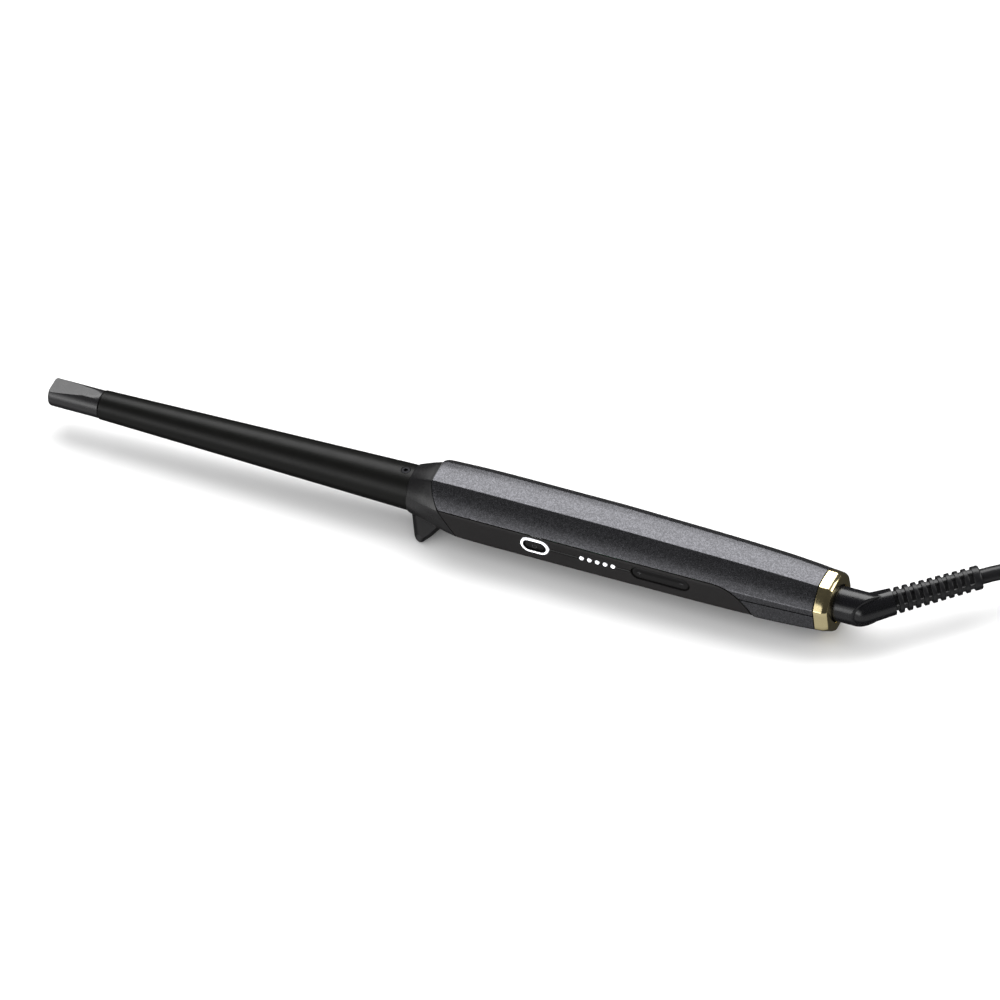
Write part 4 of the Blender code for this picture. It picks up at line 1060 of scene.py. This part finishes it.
def make_lenses():
    foot = -3.2 * MM
    dome = [(foot, 0), (foot, LENS_RADIUS), (0, LENS_RADIUS), (0.16 * MM, 0.5 * MM, 0.5 * MM), (0.2 * MM, 0)]
    for index, x in enumerate(led_places(), 1):
        lens = turned(f"indicator_dome_{index}", rounded(dome, 0.3 * MM, 5), 40, lamp_matrix(x))
        piece(lens, "wand", "light_white", f"indicator_lens_{index}", smooth=50)


def make_strips():
    """The raised line in the channel, from the light guide to the lamps and on to the rocker."""
    lamps = led_places()
    clear = LED_RADIUS + GAP
    ring_end = BUTTON_X + RING_SIZE[0] / 2 + GAP
    rocker_start = ROCKER_X - ROCKER_SIZE[0] / 2 - ROCKER_MARGIN
    width = CHANNEL_WIDTH - 0.4 * MM
    rows = rows_of([(CHANNEL_DEPTH + 0.1 * MM, 0), (0, 0), (-0.12 * MM, 0.35 * MM)], 0.3 * MM)
    spans = ((ring_end, lamps[0] - clear), (lamps[-1] + clear, rocker_start))
    for index, (start, end) in enumerate(spans, 1):
        strip = oblong_piece(f"channel_strip_{index}", (end - start, width), (start + end) / 2, rows)
        piece(strip, "wand", "panel_black", finish="collar_black", smooth=60)


def make_rocker():
    half = ROCKER_SIZE[1] / 2
    sink = ROCKER_SINK
    outline = [(sink + 1.8 * MM, 0), (sink, 0, 0.8 * MM), (sink, 1.2 * MM, 0.4 * MM)]
    outline.append((sink + 0.2 * MM, half * 0.98))
    rocker = oblong_piece("temperature_rocker_cap", ROCKER_SIZE, ROCKER_X, rows_of(outline, 0.3 * MM, 6))
    piece(rocker, "temperature_rocker", "panel_black", "temperature_rocker", finish="button_black", smooth=50)
    arm = 0.9 * MM
    level = [(-arm, 0), (arm, 0)]
    upright = [(0, -arm), (0, arm)]
    for name, strokes, side in (("plus_mark", [level, upright], -1), ("minus_mark", [level], 1)):
        x = ROCKER_X + side * (ROCKER_SIZE[0] / 2 - 3.4 * MM)
        place = CONTROLS @ Matrix.Translation((x, sink + 0.17 * MM, 0))
        curve_mark(name, strokes, 0.3 * MM, place, "temperature_rocker")


# ---------------------------------------------------------------- rear end

def make_end_ring():
    """The plated ring: eight facets that roll over to the rear face, and a bore with a rounded rim."""
    profile = [
        (RING_FRONT, 0.15 * MM),
        (RING_FRONT + 0.2 * MM, 0),
        (RING_REAR - 2.4 * MM, 0.25 * MM, 2.4 * MM),
        (RING_REAR - 0.4 * MM, 1.4 * MM, 1.2 * MM),
        (RING_REAR, 3.2 * MM),
    ]
    rows = []
    for x, inset in rounded(profile, 0.2 * MM, 6):
        section = handle_section(HANDLE_REAR, inset, edge=RING_EDGE, crown=CROWN)
        rows.append([Vector((x, point.y, point.z)) for point in section])
    bore = (
        (RING_REAR, RING_BORE + RING_RIM),
        (RING_REAR - 0.3 * RING_RIM, RING_BORE + 0.3 * RING_RIM),
        (RING_REAR - RING_RIM, RING_BORE),
        (RING_FRONT, RING_BORE),
    )
    rows += [round_row(rows[0], x, radius, axis_sink(HANDLE_REAR)) for x, radius in bore]
    ring = loft("end_ring_band", rows, WAND, wrap=True)
    piece(ring, "wand", "pale_gold", "end_ring", smooth=24)


def make_neck():
    """The swivel's neck, cut off at a slant, and the outlet that leaves it at an angle."""
    flange = NECK_FRONT - FLANGE_THICKNESS
    outline = [
        (NECK_END, 0),
        (NECK_END, NECK_RADIUS),
        (NECK_FRONT, NECK_RADIUS),
        (NECK_FRONT, FLANGE_RADIUS, 0.3 * MM),
        (flange, FLANGE_RADIUS, 0.3 * MM),
        (flange, SPINDLE_RADIUS),
        (SPINDLE_FRONT, SPINDLE_RADIUS, 0.4 * MM),
        (SPINDLE_FRONT, 0),
    ]
    outline = [(point[0] - SWIVEL_POINT.x, *point[1:]) for point in outline]
    neck = turned("swivel_neck_skin", rounded(outline, 0.1 * MM), 96, SWIVEL)
    place = Matrix.Translation((ELBOW_CUT_X, SWIVEL_POINT.y, SWIVEL_POINT.z))
    place = place @ Matrix.Rotation(ELBOW_CUT_ANGLE, 4, "Z") @ Matrix.Translation((NECK_CUTTER.x / 2, 0, 0))
    slab = block("slab", NECK_CUTTER, place)
    combine(neck, [slab])
    soften(merged(neck, 0.02 * MM), 0.5 * MM, 3, weighted=False)
    profile = [(RELIEF_SMOOTH, 0), (RELIEF_SMOOTH, OUTLET_RADIUS), (0, ELBOW_RADIUS)]
    for angle in stations(0, math.pi / 2, 16)[1:-1]:
        profile.append((-ELBOW_RADIUS * math.sin(angle), ELBOW_RADIUS * math.cos(angle)))
    profile.append((-ELBOW_RADIUS, 0))
    combine(neck, [turned("outlet", profile, 80, RELIEF)], "UNION")
    shaded(merged(neck, 0.01 * MM), 30)
    piece(neck, "cord", "gloss_black", "swivel_neck")


def relief_radius(s):
    share = (s - RIB_FIRST) / (RIB_PITCH * (RIB_COUNT - 1))
    return RIB_RADII[0] + (RIB_RADII[1] - RIB_RADII[0]) * share


def make_relief():
    """The ribbed sleeve round the lead: ribs on a core, four bars between them, and an end cap."""
    start = RELIEF_SMOOTH + GAP
    cap = RELIEF_LENGTH - RELIEF_CAP
    outline = [(start, 0), (start, RELIEF_CORE)]
    for index in range(RIB_COUNT):
        middle = RIB_FIRST + RIB_PITCH * index
        first, last = middle - RIB_WIDTH / 2, middle + RIB_WIDTH / 2
        radius = relief_radius(middle)
        outline += [(first, RELIEF_CORE, RIB_FILLET), (first, radius)]
        outline += [(last, radius), (last, RELIEF_CORE, RIB_FILLET)]
    end = RIB_RADII[1]
    outline += [(cap, RELIEF_CORE, RIB_FILLET), (cap, end), (RELIEF_LENGTH, end, 0.9 * MM)]
    outline += [(RELIEF_LENGTH, CABLE_DIAMETER / 2 + 0.2 * MM, 0.3 * MM), (RELIEF_LENGTH - 2 * MM, 0)]
    relief = turned("strain_relief_sleeve", rounded(outline, 0.3 * MM, 3), 64, RELIEF)
    bars = []
    length = cap - start + MM
    for index in range(4):
        turn = RELIEF @ Matrix.Rotation(math.pi / 2 * index, 4, "X")
        place = turn @ Matrix.Translation((start + length / 2, BAR_DISTANCE, 0))
        bars.append(block("bar", (length, BAR_WIDTH, BAR_WIDTH), place, 0.35 * MM))
    combine(relief, bars, "UNION")
    shaded(merged(relief, 0.01 * MM), 35)
    piece(relief, "cord", "relief_rubber", "strain_relief")


# ---------------------------------------------------------------- plug and tie

def superellipse(width, height, power, count=48):
    points = []
    for step in range(count):
        angle = 2 * math.pi * step / count
        across, upward = math.cos(angle), math.sin(angle)
        points.append((
            width * math.copysign(abs(across) ** (2 / power), across),
            height * math.copysign(abs(upward) ** (2 / power), upward),
        ))
    return points


def ribbing(along, start, end, count, depth):
    """How far the plug's surface dips at a place between its ribs, in mm."""
    share = (along - start) / (end - start)
    return depth * math.sin(count * math.pi * share) ** 2 if 0 < share < 1 else 0.0


def make_plug():
    """A flat moulded plug: a boot round the lead, a waisted grip with ribs, and the face with its pins."""
    low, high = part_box("plug_body")
    centre = (low + high) / 2
    end = PLUG_ROWS[-1][0]
    sections = []
    for along in stations(0.0, end, 150):
        after = next(i for i, row in enumerate(PLUG_ROWS) if row[0] >= along)
        first, second = PLUG_ROWS[max(0, after - 1)], PLUG_ROWS[after]
        share = (along - first[0]) / max(1e-6, second[0] - first[0])
        width, height, power = (a + (b - a) * share for a, b in zip(first[1:], second[1:]))
        dip = ribbing(along, *BOOT_RIBS)
        width -= ribbing(along, *GRIP_RIBS) + dip
        x = low.x + (high.x - low.x) * along / end
        outline = superellipse(width * MM, (height - dip) * MM, power)
        sections.append([Vector((x, centre.y + y, centre.z + z)) for y, z in outline])
    body = loft("plug_shell", sections)
    piece(body, "cord", "cable_black", "plug_body", smooth=40)
    pieces = [body]
    for index in (1, 2):
        node = f"plug_pin_{index}"
        low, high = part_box(node)
        radius = (high.y - low.y) / 2
        reach = high.x - low.x
        bare = radius - 0.15 * MM
        sleeve_end = 0.55 * reach
        place = Matrix.Translation((low.x, middle_of(node).y, middle_of(node).z))
        profile = [(0, 0), (0, bare), (reach, bare, 1.3 * MM), (reach, 0)]
        pin = turned(f"plug_pin_metal_{index}", rounded(profile, 0.1 * MM, 8), 40, place)
        profile = [(0, 0), (0, radius), (sleeve_end, radius, 0.15 * MM), (sleeve_end, radius - 0.2 * MM)]
        profile.append((sleeve_end, 0))
        sleeve = turned(f"plug_pin_sleeve_{index}", rounded(profile, 0.1 * MM), 40, place)
        piece(pin, "cord", "brass", node, smooth=40)
        piece(sleeve, "cord", "component_black", smooth=40)
        pieces += [pin, sleeve]
    return pieces


def make_tie():
    """A hook-and-loop strap round the hank's waist, with the end of its tongue pressed down on top."""
    low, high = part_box("cable_tie")
    centre = (low + high) / 2
    half_width = (high.x - low.x) / 2
    thick = 1.3 * MM
    outer = ((high.y - low.y) / 2, (high.z - low.z) / 2)
    band = rounded(
        [(-half_width, 0), (half_width, 0), (half_width, thick), (-half_width, thick)],
        0.45 * MM, 3, closed=True,
    )
    sections = []
    for x, inset in band:
        corner = 3.2 * MM - inset
        corners = [(outer[0] - inset, outer[1] - inset), (-outer[0] + inset, outer[1] - inset),
                   (-outer[0] + inset, -outer[1] + 0.4 * inset), (outer[0] - inset, -outer[1] + 0.4 * inset)]
        loop = rounded(corners, corner, 8, closed=True)
        sections.append([Vector((centre.x + x, centre.y + p.x, centre.z + p.y)) for p in loop])
    strap = loft("strap_band", sections, wrap=True)
    piece(strap, "cord", "tie_black", "cable_tie", smooth=50)
    tongue_rows = []
    reach = 0.62 * outer[0]
    for t in stations(0.0, 1.0, 24):
        y = centre.y - 0.55 * outer[0] + t * 2 * reach
        lift = 0.9 * MM * math.sin(math.pi * min(1.0, t * 1.4) / 2)
        end = max(0.0, (t - 0.85) / 0.15)
        half = (half_width - 0.5 * MM) * math.sqrt(max(0.02, 1 - 0.75 * end**2))
        tongue_rows.append((y, high.z + 0.1 * MM * t, lift * (1 - 0.5 * end), half))
    sections = []
    for y, z, lift, half in tongue_rows:
        corners = [(-half, -0.4 * MM), (half, -0.4 * MM), (half, lift), (-half, lift)]
        outline = rounded(corners, 0.35 * MM, 3, True)
        sections.append([Vector((centre.x + p.x, y, z + p.y)) for p in outline])
    tongue = loft("strap_tongue", sections)
    piece(tongue, "cord", "tie_black", smooth=50)
    return [strap, tongue]


make_lead(make_plug() + make_tie())
make_tip()
make_barrel()
make_collar()
make_upper_shell()
make_lower_shell()
make_panel()
make_light_ring()
make_button()
make_lenses()
make_strips()
make_rocker()
make_end_ring()
make_neck()
make_relief()


# ---------------------------------------------------------------- camera

AZIMUTH = math.radians(29.3)
ELEVATION = math.radians(45.6)
ROLL = math.radians(6.9)
LENS = 1200
SENSOR = 36
VIEW_WIDTH = 0.4276
VIEW_CENTRE = (0.0376, -0.0055)


def make_camera():
    """A long lens that looks down on the controls, aimed beside the front of the collar."""
    level = Vector((math.cos(AZIMUTH), math.sin(AZIMUTH), 0))
    back = Vector((math.sin(AZIMUTH), -math.cos(AZIMUTH), 0))
    toward = back * math.cos(ELEVATION) + Vector((0, 0, math.sin(ELEVATION)))
    upright = toward.cross(level)
    right = level * math.cos(ROLL) - upright * math.sin(ROLL)
    up = level * math.sin(ROLL) + upright * math.cos(ROLL)
    data = bpy.data.cameras.new("camera")
    data.lens = LENS
    data.sensor_width = SENSOR
    data.clip_end = 100
    camera = new_object("camera", data)
    aim = Vector((BARREL_TAPER_END, 0, AXIS_HEIGHT)) + right * VIEW_CENTRE[0] + up * VIEW_CENTRE[1]
    place = Matrix.Translation(aim + toward * VIEW_WIDTH * LENS / SENSOR)
    camera.matrix_world = place @ Matrix((right, up, toward)).transposed().to_4x4()
    bpy.context.scene.camera = camera


# ---------------------------------------------------------------- light and floor

# The world's strengths, and the direction components between which its sweep fades in and out.
FILL_LEVEL = 0.9
DARK_STUDIO = 0.04
SWEEP_LEVEL = 0.5
SWEEP_HEIGHTS = ((-0.86, -0.68), (0.0, -0.1))
SWEEP_FRONT = (-0.1, -0.4)
FLOOR_HALF = 6
FLOOR_CLEARANCE = 0.02 * MM
LIGHT_AIM = Vector((0, 0, 0.02))


def make_floor():
    bm = bmesh.new()
    bmesh.ops.create_grid(bm, x_segments=1, y_segments=1, size=FLOOR_HALF)
    floor = mesh_object("floor", bm)
    floor.location.z = -FLOOR_CLEARANCE
    paper = bpy.data.materials.new("floor_paper")
    nodes = Nodes(paper)
    patches = nodes.patches(3, 2)
    nodes.fill(nodes.tree.nodes["Principled BSDF"], {
        "Base Color": nodes.mix(patches, (0.80, 0.80, 0.80), (0.82, 0.82, 0.82)),
        "Roughness": 0.9,
        "Specular IOR Level": 0.1,
    })
    floor.data.materials.append(paper)
    floor.visible_glossy = False


def area_light(name, direction, distance, size, power):
    """A soft light that looks at the wand's middle from the given direction."""
    data = bpy.data.lights.new(name, "AREA")
    data.shape = "RECTANGLE"
    data.size, data.size_y = size
    data.energy = power
    light = new_object(name, data)
    direction = Vector(direction)
    light.location = LIGHT_AIM + direction.normalized() * distance
    light.rotation_euler = direction.to_track_quat("Z", "Y").to_euler()


def make_world():
    """An even fill for matt surfaces. Glossy ones see a dark studio with a pale sweep low in front."""
    world = bpy.data.worlds.new("studio")
    bpy.context.scene.world = world
    nodes = Nodes(world, "Generated")
    toward = nodes.node("SeparateXYZ", {"Vector": nodes.coordinates}).outputs
    sweep = nodes.spread(toward["Y"], *SWEEP_FRONT, 0.0, 1.0, "SMOOTHSTEP")
    for ends in SWEEP_HEIGHTS:
        sweep = nodes.compute("MULTIPLY", sweep, nodes.spread(toward["Z"], *ends, 0.0, 1.0, "SMOOTHSTEP"))
    level = nodes.spread(sweep, 0.0, 1.0, DARK_STUDIO, SWEEP_LEVEL)
    glossy = nodes.node("LightPath").outputs["Is Glossy Ray"]
    strength = nodes.node("Mix", {"Factor": glossy, "A": FILL_LEVEL, "B": level}).outputs["Result"]
    nodes.fill(nodes.tree.nodes["Background"], {"Color": (1, 1, 1), "Strength": strength})


def make_lights():
    area_light("top_soft", (-0.25, 0.68, 1.0), 1.6, (2.0, 1.1), 30)
    area_light("front_low", (-0.45, -1.0, 0.17), 1.8, (2.2, 0.6), 10.4)
    area_light("front_high", (-0.45, -1.0, 0.48), 1.8, (2.2, 0.6), 4.3)
    area_light("right_soft", (0.8, 0.35, 0.4), 1.6, (1.0, 1.0), 9)


make_camera()
make_floor()
make_world()
make_lights()
bpy.context.scene.view_settings.view_transform = "Standard"
